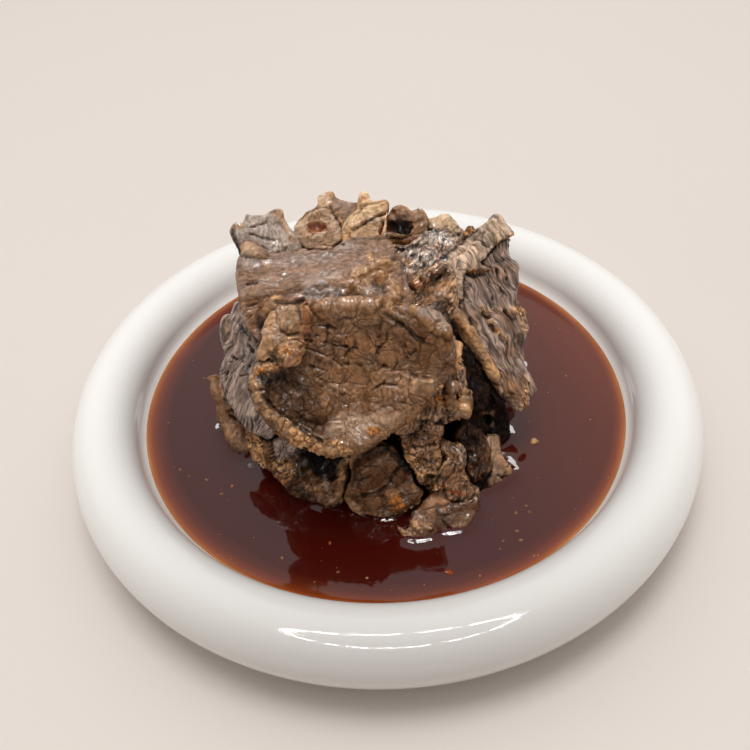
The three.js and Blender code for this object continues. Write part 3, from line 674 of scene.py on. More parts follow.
# The marks of each piece: kind, width in millimetres, and pixels of the photograph that it runs through
DRAWN = {
    "front_slice": [
        # The first dim mark and the shade mark paint shade into the hollow at the slice's left
        ("dim", 15, 290, 385, 312, 405), ("dim", 10, 415, 350, 428, 365),
        ("shade", 11, 268, 383, 284, 400, 300, 418), ("glitter", 0.7, 300, 379, 303, 384),
        ("glitter", 0.6, 291, 392, 296, 394), ("brown", 9, 350, 405, 395, 395),
        ("crease", 0.9, 385, 314, 398, 322, 406, 330, 413, 336, 422, 340),
        ("lip", 3.2, 392, 306, 412, 312, 430, 325, 442, 336),
        ("fat", 0.8, 376, 305, 392, 309, 408, 311, 418, 319, 428, 327, 434, 332),
        ("grey", 2.2, 398, 304, 425, 312, 441, 325), ("lip", 2.4, 302, 302, 330, 303, 372, 304),
        ("light", 2.2, 302, 300, 330, 302, 372, 302),
        ("crack", 0.6, 385, 314, 379, 329, 378, 342, 377, 356, 376, 362),
        ("crack", 0.5, 397, 323, 388, 332, 386, 342, 380, 347),
        ("crack", 0.45, 404, 344, 410, 356, 422, 342), ("crack", 0.45, 410, 356, 398, 362, 392, 371),
        ("crack", 0.7, 347, 364, 364, 366, 374, 363, 383, 367),
        ("ridge", 0.5, 346, 367, 362, 369, 375, 366),
        ("ridge", 0.7, 373, 373, 384, 369, 392, 372, 402, 373, 413, 379, 430, 382),
        ("crack", 0.6, 375, 370, 384, 366, 392, 369, 403, 370, 414, 376, 431, 379),
        ("crack", 0.45, 384, 372, 384, 383), ("ridge", 0.5, 373, 392, 382, 386, 397, 387, 401, 391),
        ("crack", 0.45, 372, 390, 382, 384, 397, 385), ("light", 3.0, 406, 386, 430, 384),
        ("fat", 1.0, 414, 384, 431, 383), ("ridge", 0.5, 374, 410, 384, 403, 396, 400),
        ("crack", 0.5, 319, 326, 328, 326, 338, 330, 346, 337), ("crack", 0.45, 328, 326, 326, 342),
        ("crack", 0.5, 308, 333, 323, 337),
        ("crack", 0.5, 307, 341, 326, 343, 336, 346, 352, 347, 361, 350),
        ("crack", 0.5, 306, 348, 322, 354, 329, 356, 341, 366),
        ("ridge", 0.4, 307, 350, 322, 356, 330, 359, 341, 368), ("crack", 0.5, 352, 347, 344, 357),
        ("ridge", 0.5, 322, 372, 335, 378), ("ridge", 0.5, 311, 377, 321, 382),
        ("crack", 0.5, 310, 366, 324, 370, 336, 376), ("crack", 0.5, 318, 386, 334, 390, 344, 396),
        ("ridge", 0.5, 330, 385, 342, 390, 352, 396), ("swell", 3.0, 309, 412, 325, 410),
        ("pale", 3.4, 338, 426, 352, 421, 366, 423, 378, 421), ("pale", 1.6, 335, 425, 345, 433, 360, 436),
        ("ridge", 0.6, 338, 424, 350, 419, 362, 421, 377, 418), ("ridge", 0.5, 352, 410, 358, 404),
        ("orange", 1.3, 368, 434, 378, 430), ("light", 2.4, 384, 425, 404, 413, 424, 398),
        ("crust", 2.0, 252, 374, 258, 368, 272, 367, 282, 364),
        ("orange", 0.9, 256, 371, 264, 369, 280, 365), ("black", 2.2, 262, 378, 284, 377),
        ("crust", 1.7, 252, 378, 256, 388, 260, 404, 270, 414, 282, 422),
        ("crust", 2.6, 284, 426, 293, 434, 302, 441, 312, 448, 320, 452),
        ("crust", 2.2, 330, 449, 344, 450, 356, 448), ("orange", 1.3, 292, 433, 296, 438),
        ("orange", 1.1, 302, 440, 305, 446), ("orange", 1.0, 316, 446, 313, 451),
        ("orange", 0.9, 333, 441, 338, 444),
        ("crease", 0.6, 263, 396, 277, 411, 292, 419, 300, 427, 312, 434, 322, 442),
        ("ridge", 0.45, 300, 424, 314, 433, 322, 440), ("wet", 1.2, 300, 426, 314, 434, 323, 443),
        ("crust", 1.4, 360, 446, 372, 441, 386, 432), ("light", 2.0, 364, 442, 384, 434),
        ("dim", 4, 334, 436, 350, 442, 378, 440), ("dim", 4, 340, 402, 380, 402, 420, 400),
        ("black", 1.6, 290, 358, 298, 356),
    ],
    "fat_lump": [
        ("fat", 1.6, 304, 305, 307, 318, 306, 333), ("orange", 0.8, 300, 326, 293, 332, 284, 333),
        ("crease", 0.6, 281, 331, 288, 335, 298, 333), ("light", 3.0, 288, 317, 293, 324),
        ("glitter", 2.4, 270, 332, 278, 338), ("glitter", 1.6, 279, 309, 287, 307),
        ("orange", 1.2, 288, 345, 294, 352), ("orange", 1.2, 277, 346, 284, 354),
        ("glitter", 1.0, 292, 342, 297, 340), ("crust", 1.8, 282, 356, 296, 352, 304, 340),
        ("shade", 1.0, 276, 349, 274, 356), ("fat", 0.8, 285, 368, 296, 358, 304, 344),
        ("umber", 0.7, 303, 308, 305, 322, 303, 338, 296, 352, 286, 364, 272, 372),
        ("shade", 0.6, 270, 325, 278, 328), ("shade", 0.9, 266, 350, 274, 356, 282, 360),
        ("light", 2.0, 284, 312, 294, 320),
    ],
    "top_slice": [
        ("grey", 2.2, 262, 262, 300, 262, 334, 258), ("grey", 1.8, 340, 246, 356, 250),
        ("grey", 2.0, 306, 280, 340, 275), ("grey", 2.4, 246, 262, 262, 263),
        ("black", 0.7, 352, 284, 358, 290, 366, 294), ("black", 0.8, 372, 283, 376, 290, 384, 292),
        ("black", 0.6, 344, 294, 352, 297, 362, 296), ("black", 0.6, 386, 276, 388, 286),
        ("black", 0.5, 306, 297, 320, 297, 334, 298), ("black", 0.5, 312, 288, 322, 286, 332, 287),
        ("glitter", 1.3, 350, 280, 362, 286, 374, 290), ("glitter", 0.8, 366, 272, 376, 276),
        ("fat", 1.0, 368, 251, 372, 262), ("crack", 0.5, 290, 252, 330, 250, 344, 246),
        ("black", 1.2, 306, 294, 324, 293, 342, 293), ("glitter", 2.0, 309, 292, 324, 291, 341, 291),
        ("glitter", 0.9, 255, 285, 270, 280), ("glitter", 0.9, 279, 283, 286, 276),
        ("glitter", 1.0, 300, 296, 312, 296), ("glitter", 1.2, 358, 298, 372, 296),
        ("hole", 0.7, 351, 289, 354, 289), ("hollow", 1.5, 378, 281, 382, 287),
        ("glitter", 0.9, 379, 285, 381, 290), ("crease", 0.5, 376, 278, 386, 279),
        ("crust", 3.4, 356, 284, 368, 272, 384, 268), ("crust", 1.6, 388, 284, 396, 292, 391, 300),
        ("orange", 0.8, 388, 300, 398, 301), ("ridge", 0.7, 322, 288, 346, 285, 360, 279),
        ("crease", 0.6, 340, 297, 352, 292, 362, 297), ("fat", 0.9, 259, 301, 268, 299, 279, 298),
        ("crease", 0.7, 277, 303, 292, 303, 304, 300), ("crease", 0.7, 262, 336, 268, 326, 275, 314),
        ("swell", 2.4, 254, 320, 264, 314, 276, 309), ("crack", 0.6, 250, 318, 262, 310, 276, 308),
        ("crack", 0.6, 252, 325, 264, 319, 273, 314), ("crack", 0.6, 257, 331, 266, 324),
        ("crack", 0.5, 247, 285, 258, 284), ("crack", 0.5, 245, 296, 256, 297),
        ("crack", 0.5, 246, 306, 256, 304), ("grey", 0.8, 242, 312, 248, 324),
        ("light", 1.6, 246, 249, 256, 253, 263, 257), ("black", 2.2, 262, 322, 263, 344),
    ],
    "upright_slice": [
        ("crack", 0.6, 250, 234, 262, 238, 274, 240), ("crack", 0.5, 244, 228, 256, 226, 268, 222),
        ("crack", 0.5, 262, 246, 270, 252), ("glitter", 1.6, 272, 249, 284, 247),
        ("bluish", 3.0, 268, 230, 284, 240), ("light", 0.8, 281, 213, 286, 228, 294, 242),
        ("shade", 0.8, 233, 230, 240, 250),
    ],
    "rolled_slice": [
        ("rust hole", 1.6, 312, 229, 316, 228, 323, 226), ("orange", 0.7, 309, 227, 314, 233, 322, 231),
        ("light", 2.0, 303, 232, 312, 242, 326, 243), ("light", 1.6, 322, 212, 330, 222, 330, 236),
        ("crack", 0.6, 330, 206, 338, 222, 346, 232), ("grey", 3.0, 340, 204, 352, 212),
        ("glitter", 0.7, 350, 211, 351, 209), ("shade", 1.0, 302, 245, 308, 250),
    ],
    "fat_strands": [
        ("light", 1.6, 352, 240, 364, 232, 375, 229), ("orange", 1.0, 364, 197, 362, 208),
        ("rust hole", 0.5, 383, 222, 380, 232, 384, 244),
        ("crease", 0.4, 352, 230, 362, 225, 374, 218, 386, 213), ("glitter", 0.9, 368, 220, 378, 221),
        ("grey", 1.6, 350, 246, 360, 246),
    ],
    "dark_curl": [
        ("black", 1.5, 392, 225, 402, 228, 408, 228), ("rust", 1.2, 385, 223, 388, 231, 384, 240),
        ("glitter", 0.5, 391, 233, 395, 236, 403, 235), ("crease", 0.6, 390, 238, 400, 240, 410, 236),
        ("bluish", 1.6, 396, 217, 408, 218),
    ],
    "wet_slice": [
        ("bluish", 2.4, 424, 238, 444, 240), ("glitter", 2.0, 410, 254, 424, 258, 440, 254),
        ("glitter", 1.8, 418, 268, 428, 264, 436, 260), ("glitter", 0.8, 391, 244, 396, 248),
        ("deep brown", 2.2, 402, 268, 412, 280), ("light", 0.9, 398, 254, 408, 266, 416, 278),
        ("crease", 0.8, 393, 247, 402, 250, 410, 247, 420, 245),
        ("light", 1.8, 442, 258, 452, 250, 458, 244),
    ],
    "peak_slice": [
        ("light", 2.6, 436, 232, 446, 226), ("crack", 0.5, 448, 222, 454, 230, 462, 238),
        ("ridge", 0.5, 446, 217, 456, 226, 464, 236),
    ],
    "small_peak": [
        ("rust hole", 0.9, 471, 242, 474, 237), ("orange", 0.6, 468, 232, 467, 242),
    ],
    "tan_flap": [
        ("umber", 1.0, 415, 287, 424, 280, 434, 275, 442, 271),
        ("light", 0.8, 420, 277, 430, 271, 440, 266), ("hollow", 1.4, 440, 277, 446, 272, 449, 266),
        ("black", 0.9, 432, 280, 442, 276, 446, 270), ("crack", 0.5, 432, 288, 440, 282),
        ("light", 2.0, 424, 296, 440, 290), ("glitter", 0.8, 417, 292, 421, 298),
        ("shade", 1.6, 438, 306, 448, 300), ("black", 2.0, 442, 308, 446, 318),
    ],
    "right_slice": [
        ("fat", 1.0, 510, 234, 500, 240, 494, 245), ("crease", 0.6, 495, 246, 488, 255, 481, 264),
        ("orange", 0.8, 464, 270, 476, 271, 491, 270), ("crease", 0.7, 468, 274, 474, 276, 484, 274),
        ("crack", 0.5, 482, 237, 481, 246, 486, 248), ("orange", 0.6, 480, 234, 486, 232),
        ("crack", 0.5, 503, 256, 505, 268, 507, 280), ("crack", 0.5, 496, 262, 498, 280, 502, 296),
        ("crack", 0.5, 488, 278, 490, 290, 494, 304),
        ("crust", 1.1, 482, 308, 490, 320, 497, 330, 504, 338), ("hollow", 0.8, 484, 314, 488, 317),
        ("hollow", 0.8, 491, 326, 495, 332), ("glitter", 0.7, 489, 333, 491, 335),
        ("glitter", 0.7, 502, 338, 504, 342), ("hollow", 0.7, 505, 311, 514, 320),
        ("crust", 1.3, 512, 310, 520, 312, 525, 330), ("orange", 0.6, 520, 307, 524, 312),
        ("shade", 1.4, 519, 336, 521, 346), ("crust", 1.8, 527, 384, 525, 396, 524, 404),
        ("orange", 0.7, 527, 390, 526, 404), ("crack", 0.5, 470, 318, 473, 332, 479, 336),
        ("crack", 0.5, 480, 352, 488, 362, 496, 376), ("fat", 1.0, 484, 368, 494, 382, 504, 393, 512, 402),
        ("crease", 0.8, 488, 356, 494, 368, 500, 380), ("brown", 1.6, 471, 345, 484, 358),
        ("brown", 3.4, 504, 376, 514, 392, 516, 402), ("deep brown", 1.6, 500, 384, 508, 398),
    ],
    "fat_strip": [
        ("light", 1.0, 450, 303, 462, 312, 468, 324, 480, 342),
        ("orange", 1.0, 452, 312, 460, 322, 468, 334), ("deep brown", 1.4, 462, 330, 474, 348, 484, 364),
    ],
    "left_slice": [
        ("glitter", 1.2, 242, 348, 249, 357), ("glitter", 0.5, 236, 332, 238, 333),
        ("hollow", 0.8, 248, 346, 252, 351), ("hollow", 0.6, 233, 358, 237, 360),
        ("crease", 0.6, 240, 325, 244, 333, 250, 340), ("crack", 0.5, 230, 362, 240, 360, 250, 366),
        ("crack", 0.4, 240, 376, 250, 374), ("fat", 0.7, 250, 374, 252, 384, 253, 394),
        ("crease", 0.7, 259, 410, 256, 422), ("light", 1.2, 224, 316, 228, 330),
    ],
    "left_curl": [
        ("hole", 1.3, 232, 412, 237, 415, 243, 420), ("light", 2.0, 232, 430, 240, 446),
        ("light", 1.8, 213, 382, 218, 396), ("deep brown", 1.6, 226, 402, 236, 424, 246, 436),
        ("crease", 0.5, 224, 400, 240, 412, 248, 424), ("light", 0.8, 222, 425, 232, 424),
    ],
    "left_foot": [
        ("fat", 1.2, 250, 430, 256, 436, 264, 440, 271, 441), ("grey", 1.8, 262, 418, 268, 424),
        ("crease", 0.6, 262, 424, 266, 429), ("orange", 0.6, 252, 433, 258, 438),
    ],
    "under_slice": [
        ("crust", 1.1, 441, 346, 440, 360, 437, 376), ("orange", 0.7, 440, 352, 435, 366, 437, 376),
        ("crease", 1.2, 446, 352, 444, 368, 440, 380), ("rust", 0.8, 450, 350, 451, 362),
        ("crust", 1.0, 454, 346, 456, 362, 458, 380), ("orange", 1.3, 438, 387, 445, 383),
        ("orange", 1.6, 434, 396, 440, 404), ("crust", 1.6, 452, 396, 462, 400, 464, 412),
        ("glitter", 0.9, 450, 412, 460, 412), ("crease", 0.7, 392, 426, 402, 416, 412, 409),
        ("crease", 0.6, 402, 430, 416, 422, 430, 421), ("ridge", 0.8, 388, 430, 396, 422, 410, 414),
        ("light", 1.6, 384, 434, 400, 426, 418, 418, 430, 416), ("fat", 0.8, 402, 428, 412, 424, 422, 422),
        ("shade", 1.2, 446, 376, 444, 392), ("hollow", 0.8, 455, 394, 456, 399),
        ("black", 2.0, 446, 372, 442, 384), ("black", 1.6, 470, 396, 473, 406),
    ],
    "low_left": [
        ("grey", 2.4, 278, 444, 288, 452), ("crust", 2.2, 276, 464, 286, 470, 292, 464),
        ("hollow", 3.6, 308, 460, 322, 464, 338, 460), ("black", 3.6, 306, 456, 340, 460),
        ("black", 2.0, 300, 454, 310, 466, 322, 474), ("shade", 2.4, 290, 490, 306, 498),
        ("light", 1.3, 304, 484, 314, 488, 324, 486), ("glitter", 0.7, 303, 466, 305, 463),
        ("glitter", 1.0, 325, 476, 328, 488, 328, 496), ("tan", 1.6, 340, 468, 344, 480, 338, 492),
        ("crust", 1.0, 346, 462, 352, 454), ("light", 1.0, 328, 498, 344, 500),
        ("crease", 0.8, 296, 462, 298, 478),
    ],
    "low_middle": [
        ("crack", 0.5, 352, 482, 360, 480, 372, 474, 384, 466),
        ("crease", 0.7, 390, 482, 392, 475, 398, 468, 406, 466),
        ("crease", 0.6, 360, 497, 366, 494, 378, 492, 386, 486),
        ("ridge", 0.5, 364, 470, 378, 462, 388, 455), ("crease", 1.0, 358, 460, 352, 472, 352, 486),
        ("black", 1.4, 362, 452, 376, 450, 388, 448), ("black", 1.0, 392, 454, 398, 457, 406, 464),
        ("tan", 1.4, 350, 460, 356, 453), ("tan", 1.4, 348, 500, 354, 508, 360, 512),
        ("light", 1.2, 356, 512, 370, 515, 388, 516), ("orange", 2.0, 393, 500, 401, 504, 395, 508),
        ("tan", 1.6, 388, 492, 396, 492), ("glitter", 0.6, 380, 511, 390, 513),
        ("glitter", 0.5, 352, 490, 354, 489), ("glitter", 0.8, 402, 489, 406, 492),
        ("light", 1.2, 412, 478, 416, 488),
    ],
    "neck_piece": [
        ("deep brown", 2.6, 410, 436, 428, 440), ("light", 2.2, 414, 452, 428, 450),
        ("tan", 1.6, 410, 456, 412, 464, 420, 474, 428, 474), ("orange", 0.9, 404, 446, 410, 452),
        ("crease", 0.6, 412, 446, 424, 447, 436, 444), ("crease", 0.5, 420, 458, 428, 462),
        ("hollow", 1.2, 430, 478, 426, 484),
    ],
    "grey_lump": [
        ("fat", 0.6, 431, 484, 440, 470, 448, 460), ("crease", 0.7, 430, 478, 438, 466, 446, 456),
        ("glitter", 0.8, 446, 462, 450, 459), ("glitter", 0.7, 455, 464, 462, 460),
        ("bluish", 1.4, 460, 450, 463, 460), ("rust", 1.0, 452, 492, 460, 494),
        ("hole", 2.0, 428, 496, 439, 495),
    ],
    "dark_lump": [
        ("hollow", 1.0, 471, 452, 475, 454), ("glitter", 0.8, 471, 458, 475, 460),
        ("glitter", 0.4, 472, 474, 473, 475), ("shade", 2.4, 468, 440, 476, 446),
        ("bluish", 1.4, 463, 482, 465, 488), ("light", 1.0, 472, 486, 476, 494),
    ],
    "right_lobe": [
        ("deep brown", 2.6, 482, 452, 486, 474), ("pale", 1.2, 490, 462, 495, 472),
        ("tan", 1.0, 500, 456, 506, 466, 512, 474), ("hollow", 0.8, 498, 476, 508, 478),
        ("deep brown", 1.6, 484, 486, 500, 486), ("wet", 3.0, 484, 462, 504, 470),
    ],
    "sauce_piece": [
        ("tan", 1.2, 398, 528, 404, 532, 412, 536), ("crust", 1.2, 414, 522, 418, 528, 430, 526),
        ("bluish", 1.4, 414, 514, 418, 516), ("glitter", 0.9, 416, 512, 424, 518),
        ("glitter", 1.2, 440, 511, 450, 507, 462, 502), ("orange", 0.8, 438, 502, 444, 508),
        ("deep brown", 2.4, 444, 514, 458, 512), ("light", 1.2, 452, 526, 464, 522),
        ("crease", 0.6, 440, 520, 450, 528), ("deep brown", 2.0, 420, 536, 446, 536),
        ("light", 0.8, 470, 490, 474, 500), ("wet", 4.0, 430, 520, 460, 516),
    ],
    "deep_curl": [
        ("ridge", 0.8, 485, 414, 491, 412, 495, 418, 492, 425), ("hole", 1.2, 487, 418, 489, 420),
    ],
}

# Areas of a piece that lie proud of it, or deeper, or are only painted, as height in millimetres, colour and
# the pixels round them
FLAPS = {
    "left_slice": [
        (0, "grey", 226, 374, 250, 372, 256, 400, 258, 430, 246, 424, 232, 404),
    ],
    "fat_strands": [
        (0.45, "light tan", 345, 228, 352, 218, 362, 212, 368, 206, 386, 202, 388, 210, 378, 216, 366, 222,
         348, 232),
        (0.3, "tan", 350, 236, 362, 228, 378, 228, 382, 238, 376, 246, 360, 240, 350, 243),
        (0.3, "pale", 366, 216, 380, 217, 382, 224, 368, 225),
    ],
    "dark_curl": [
        # Sunk and painted black: painted shade in the hollow
        (-1.6, "black", 388, 220, 411, 221, 413, 227, 410, 235, 404, 235, 396, 233, 386, 230),
        (0, "brown", 410, 212, 424, 208, 427, 224, 414, 236, 412, 224),
    ],
    "front_slice": [
        (0.9, "brown", 375, 304, 392, 309, 408, 311, 419, 319, 428, 327, 436, 334, 449, 340, 450, 322, 430,
         300, 380, 290),
        (0.45, "brown", 372, 373, 384, 368, 392, 371, 402, 372, 413, 378, 432, 381, 436, 392, 400, 440, 372,
         420, 366, 395),
        (0.3, "light brown", 374, 394, 382, 386, 397, 387, 402, 392, 404, 408, 380, 416, 368, 408),
    ],
    "right_slice": [
        (1.3, "pale", 497, 216, 512, 236, 500, 241, 492, 247, 484, 259, 478, 262, 490, 269, 470, 271, 463,
         274, 462, 300, 450, 300, 440, 262),
    ],
    "top_slice": [
        (0.6, "taupe", 230, 240, 400, 240, 392, 262, 366, 275, 352, 286, 320, 288, 296, 290, 262, 298, 240,
         300),
        (0.5, "taupe", 386, 262, 400, 262, 402, 300, 388, 304, 384, 290, 388, 280),
        (0.5, "light tan", 243, 256, 243, 246, 246, 242, 255, 247, 262, 251, 267, 257, 258, 260, 248, 258),
    ],
    "fat_lump": [
        (0.9, "light brown", 279, 309, 296, 306, 300, 322, 294, 330, 284, 330, 278, 322),
        (0.7, "tan", 300, 300, 312, 300, 312, 340, 300, 356, 286, 368, 284, 362, 298, 348, 304, 330),
    ],
    "upright_slice": [
        (0, "soaked", 228, 230, 234, 232, 242, 252, 244, 272, 236, 272, 234, 244),
        (0, "light brown", 268, 210, 284, 208, 286, 222, 298, 244, 290, 244, 280, 224),
        (0, "light brown", 230, 224, 246, 222, 244, 229, 232, 231),
    ],
    "rolled_slice": [
        (0, "brown", 333, 190, 366, 200, 366, 216, 352, 232, 342, 223, 335, 214, 330, 204),
        (0.7, "pale", 296, 225, 310, 212, 326, 208, 338, 222, 344, 238, 330, 250, 306, 250, 294, 240),
    ],
    "under_slice": [
        (1.2, "brown", 448, 338, 460, 344, 458, 380, 470, 392, 474, 412, 450, 420, 446, 396, 448, 366),
        (0.9, "light brown", 434, 344, 443, 346, 443, 362, 438, 380, 433, 374),
    ],
    "tan_flap": [
        (0.6, "light brown", 410, 285, 420, 274, 440, 262, 455, 262, 452, 270, 436, 278, 420, 292),
    ],
    "low_left": [
        (0.7, "grey", 272, 438, 292, 438, 302, 452, 298, 460, 276, 460),
        # Painted shade in the dark hole
        (0, "black", 304, 450, 342, 452, 345, 474, 331, 484, 316, 477, 303, 464),
    ],
    "low_middle": [
        (0.7, "deep brown", 362, 462, 388, 450, 404, 462, 404, 478, 388, 494, 364, 496, 358, 480),
        (0, "soaked", 392, 446, 412, 450, 420, 470, 410, 478, 398, 468),
    ],
    "sauce_piece": [
        (0.9, "deep brown", 438, 511, 476, 496, 480, 512, 462, 532, 440, 532),
    ],
}


def nearest_on(line, at):
    """Distance in pixels from each point to a line through pixels"""
    best = np.full(len(at), FAR)
    for start, end in zip(line[:-1], line[1:]):
        run = end - start
        part = np.clip(((at - start) @ run) / max(run @ run, TINY), 0, 1)
        best = np.minimum(best, np.linalg.norm(at - start - part[:, None] * run, axis=1))
    return best


def within(outline, at):
    """True where points lie within a closed outline"""
    inside = np.zeros(len(at), bool)
    for start, end in zip(outline, np.roll(outline, -1, axis=0)):
        crosses = (start[1] > at[:, 1]) != (end[1] > at[:, 1])
        rise = end[1] - start[1] if end[1] != start[1] else TINY
        inside ^= crosses & (at[:, 0] < start[0] + (end[0] - start[0]) * (at[:, 1] - start[1]) / rise)
    return inside


def flapped(skin, at, scale, facing, fine):
    """Paints a piece's areas, with a border of painted shade round those that lie proud, and gives their
    heights
    """
    total = np.zeros(len(at))
    for height, colour, *pixels in FLAPS.get(skin.node, []):
        outline = outline_of(pixels)
        rim = nearest_on(np.concatenate([outline, outline[:1]]), at) / scale
        depth = np.where(within(outline, at), rim, -rim) + 0.3 * fine
        total += height * ramp(depth, -0.15, 0.45) * facing
        skin.paint(colour, (0.6 if height > 0 else 0.9) * ramp(depth, -0.1, 0.5) * facing)
        if height > 0:
            # A band of painted shade round the foot of a raised area
            border = ramp(depth, -0.9, -0.3) * (1 - ramp(depth, -0.3, 0.1)) * facing
            skin.paint("soaked", min(height, 0.85) * border)
    return total


def marked(skin, seed):
    """Draws a piece's areas and marks on the side that faces the camera"""
    at, scale = pixels_of(skin.at)
    to_eye = EYE - skin.at
    facing = ramp((skin.normals() * to_eye).sum(1) / np.linalg.norm(to_eye, axis=1), -0.05, 0.12)
    slow = noise(skin.at / 2.6, seed + 48)
    fine = layered(skin.at / 1.1, seed + 50)
    crumbs = 1.6 * billows(skin.at / 2.2, seed + 60, 4) - 0.7
    broken = noise(skin.at / 2.0, seed + 70)
    total = flapped(skin, at, scale, facing, fine)
    for kind, width, *pixels in DRAWN.get(skin.node, []):
        height, crumb, colour, cover, wetter = MARKS[kind]
        away = nearest_on(outline_of(pixels), at) / scale + width * (0.25 * fine + 0.45 * slow)
        there = (1 - ramp(away, 0.15 * width, width)) * facing
        if kind in BROKEN:
            there = there * ramp(broken, -0.35, 0.1)
        total += there * (height + crumb * crumbs)
        skin.paint(colour, there * cover * np.clip(0.85 + 0.4 * crumbs, 0, 1))
        skin.wet = np.clip(skin.wet + there * wetter, 0, 1)
    skin.raise_by(total)


# Materials
class Graph:
    """Shader nodes of a material or of the world"""

    def __init__(self, owner):
        owner.use_nodes = True
        self.nodes = owner.node_tree.nodes
        self.links = owner.node_tree.links

    def fill(self, node, inputs):
        """Gives each input of a node a plain value, or links it to the output of another node"""
        for name, value in inputs.items():
            if isinstance(value, bpy.types.NodeSocket):
                self.links.new(value, node.inputs[name])
            else:
                node.inputs[name].default_value = value

    def node(self, kind, inputs=None, **settings):
        """Outputs of a new node"""
        made = self.nodes.new(f"ShaderNode{kind}")
        for name, value in settings.items():
            setattr(made, name, value)
        self.fill(made, inputs or {})
        return made.outputs

    def math(self, operation, a, b=0.0):
        """Result of a calculation with one or two values"""
        return self.node("Math", {0: a, 1: b}, operation=operation)["Value"]

    def plus(self, a, b):
        """Sum of two values"""
        return self.math("ADD", a, b)

    def times(self, a, b):
        """Product of two values"""
        return self.math("MULTIPLY", a, b)

    def ranged(self, value, low, high, to_low, to_high):
        """A value moved from one range to another, and kept within it"""
        limits = {"From Min": low, "From Max": high, "To Min": to_low, "To Max": to_high}
        return self.node("MapRange", {"Value": value, **limits})["Result"]

    def place(self, kind="Object"):
        """Place of each point, in metres, or its direction in the world"""
        return self.node("TexCoord")[kind]

    def attribute(self, name, kind="Fac"):
        """What the mesh holds under a name at each point"""
        return self.node("Attribute", attribute_name=name)[kind]

    def clouds(self, place, scale, detail, kind="Fac", **more):
        """Smooth noise"""
        return self.node("TexNoise", {"Vector": place, "Scale": scale, "Detail": detail, **more})[kind]

    def bump(self, height, strength, distance):
        """Normals of a relief, whose distance is in millimetres"""
        inputs = {"Height": height, "Strength": strength, "Distance": distance * MM}
        return self.node("Bump", inputs)["Normal"]

    def between(self, share, first, second):
        """A colour between two others"""
        inputs = {"Factor": share, "A": (*first, 1), "B": (*second, 1)}
        return self.node("Mix", inputs, data_type="RGBA")["Result"]


def new_material(name):
    """A material, its graph and its shader"""
    made = bpy.data.materials.new(name)
    graph = Graph(made)
    return made, graph, graph.nodes["Principled BSDF"]


CELL_SCALE = 0.24  # cracked cells for each millimetre along the grain


def beef_material(name, contrast, bump):
    """Cooked beef: the painted tint, mottled and wrinkled along its grain, with a patchy wet gloss"""
    made, graph, shader = new_material(name)
    tint = graph.attribute("tint", "Color")
    grain = graph.attribute("grain", "Vector")
    wet, net, speck = (graph.attribute(key) for key in ("wet", "net", "speck"))

    # Cracks between cells, and wrinkles that are faint on the kinds with few specks
    bent = graph.node("VectorMath", {0: grain, 1: graph.clouds(grain, 0.35, 3.0, "Color")})["Vector"]
    cell = graph.node("TexVoronoi", {"Vector": bent, "Scale": CELL_SCALE}, feature="DISTANCE_TO_EDGE")
    from_crack = cell["Distance"]
    crack = graph.times(graph.ranged(from_crack, 0.015, 0.07, 1.0, 0.0), net)
    # Painted highlight beside the cracks
    lip = graph.times(graph.ranged(from_crack, 0.09, 0.24, 0.4, 0.0), net)
    folds = graph.math("SUBTRACT", graph.clouds(grain, 0.3, 3.0, Distortion=0.6), 0.5)
    wrinkle = graph.ranged(graph.math("ABSOLUTE", folds), 0.003, 0.02, 0.7, 0.0)
    wrinkle = graph.times(wrinkle, graph.ranged(speck, 0.4, 0.8, 0.3, 1.0))
    patches = graph.clouds(grain, 0.5, 3.0)
    lines = graph.times(graph.math("MAXIMUM", crack, wrinkle), graph.ranged(patches, 0.3, 0.5, 0.4, 1.0))

    # How light the tint is: mottled and speckled, with painted shade in the lines and a painted highlight
    # beside the cracks
    mottle = graph.clouds(grain, 0.42, 5.0, Roughness=0.75)
    specks = graph.times(graph.ranged(graph.clouds(grain, 1.3, 1.0), 0.3, 0.7, -1.1, 1.1), speck)
    light = graph.ranged(mottle, 0.36, 0.64, 1 - contrast, 1 + contrast)
    light = graph.times(light, graph.ranged(lines, 0, 1, 1.0, 0.12))
    light = graph.times(light, graph.math("MAXIMUM", graph.plus(specks, 1.05), 0.12))
    light = graph.times(light, graph.plus(lip, 1.0))
    colour = graph.node("VectorMath", {0: tint, "Scale": light}, operation="SCALE")["Vector"]

    # The relief, and the film of sauce on it
    lumps = graph.clouds(grain, 0.75, 3.0, Roughness=0.62)
    height = graph.plus(graph.math("SUBTRACT", lumps, graph.times(lines, 0.35)), graph.times(specks, 0.12))
    soaked = graph.plus(wet, graph.ranged(patches, 0.35, 0.65, -0.3, 0.3))
    film = graph.ranged(soaked, 0.25, 0.75, 0.05, 1.0)
    graph.fill(
        shader,
        {
            "Base Color": colour,
            "Roughness": graph.ranged(soaked, 0.1, 0.9, 0.55, 0.3),
            "IOR": 1.4,
            "Specular IOR Level": 0.12,
            "Normal": graph.bump(height, bump, 0.8),
            "Coat Weight": graph.times(film, graph.ranged(lines, 0, 0.8, 1.0, 0.05)),
            "Coat Roughness": 0.1,
            "Coat IOR": 1.45,
            "Coat Normal": graph.bump(graph.clouds(grain, 0.6, 1.0), 1.0, 0.7),
        },
    )
    return made


# Each material's contrast and strength of relief
BEEF_LOOKS = {
    "brown_beef": (0.3, 0.8),
    "grey_beef": (0.35, 0.9),
    "dark_beef": (0.35, 0.9),
    "tan_fat": (0.25, 0.8),
}
BEEF = {name: beef_material(name, *look) for name, look in BEEF_LOOKS.items()}
COLOURS_OF_SLOT = {
    "brown_beef": ("brown", "light brown", "taupe", "dusky"),
    "grey_beef": ("grey", "light grey"),
    "dark_beef": ("deep brown", "soaked", "black"),
    "tan_fat": ("tan", "light tan", "pale"),
}
SLOT_OF_COLOUR = {colour: slot for slot, colours in COLOURS_OF_SLOT.items() for colour in colours}


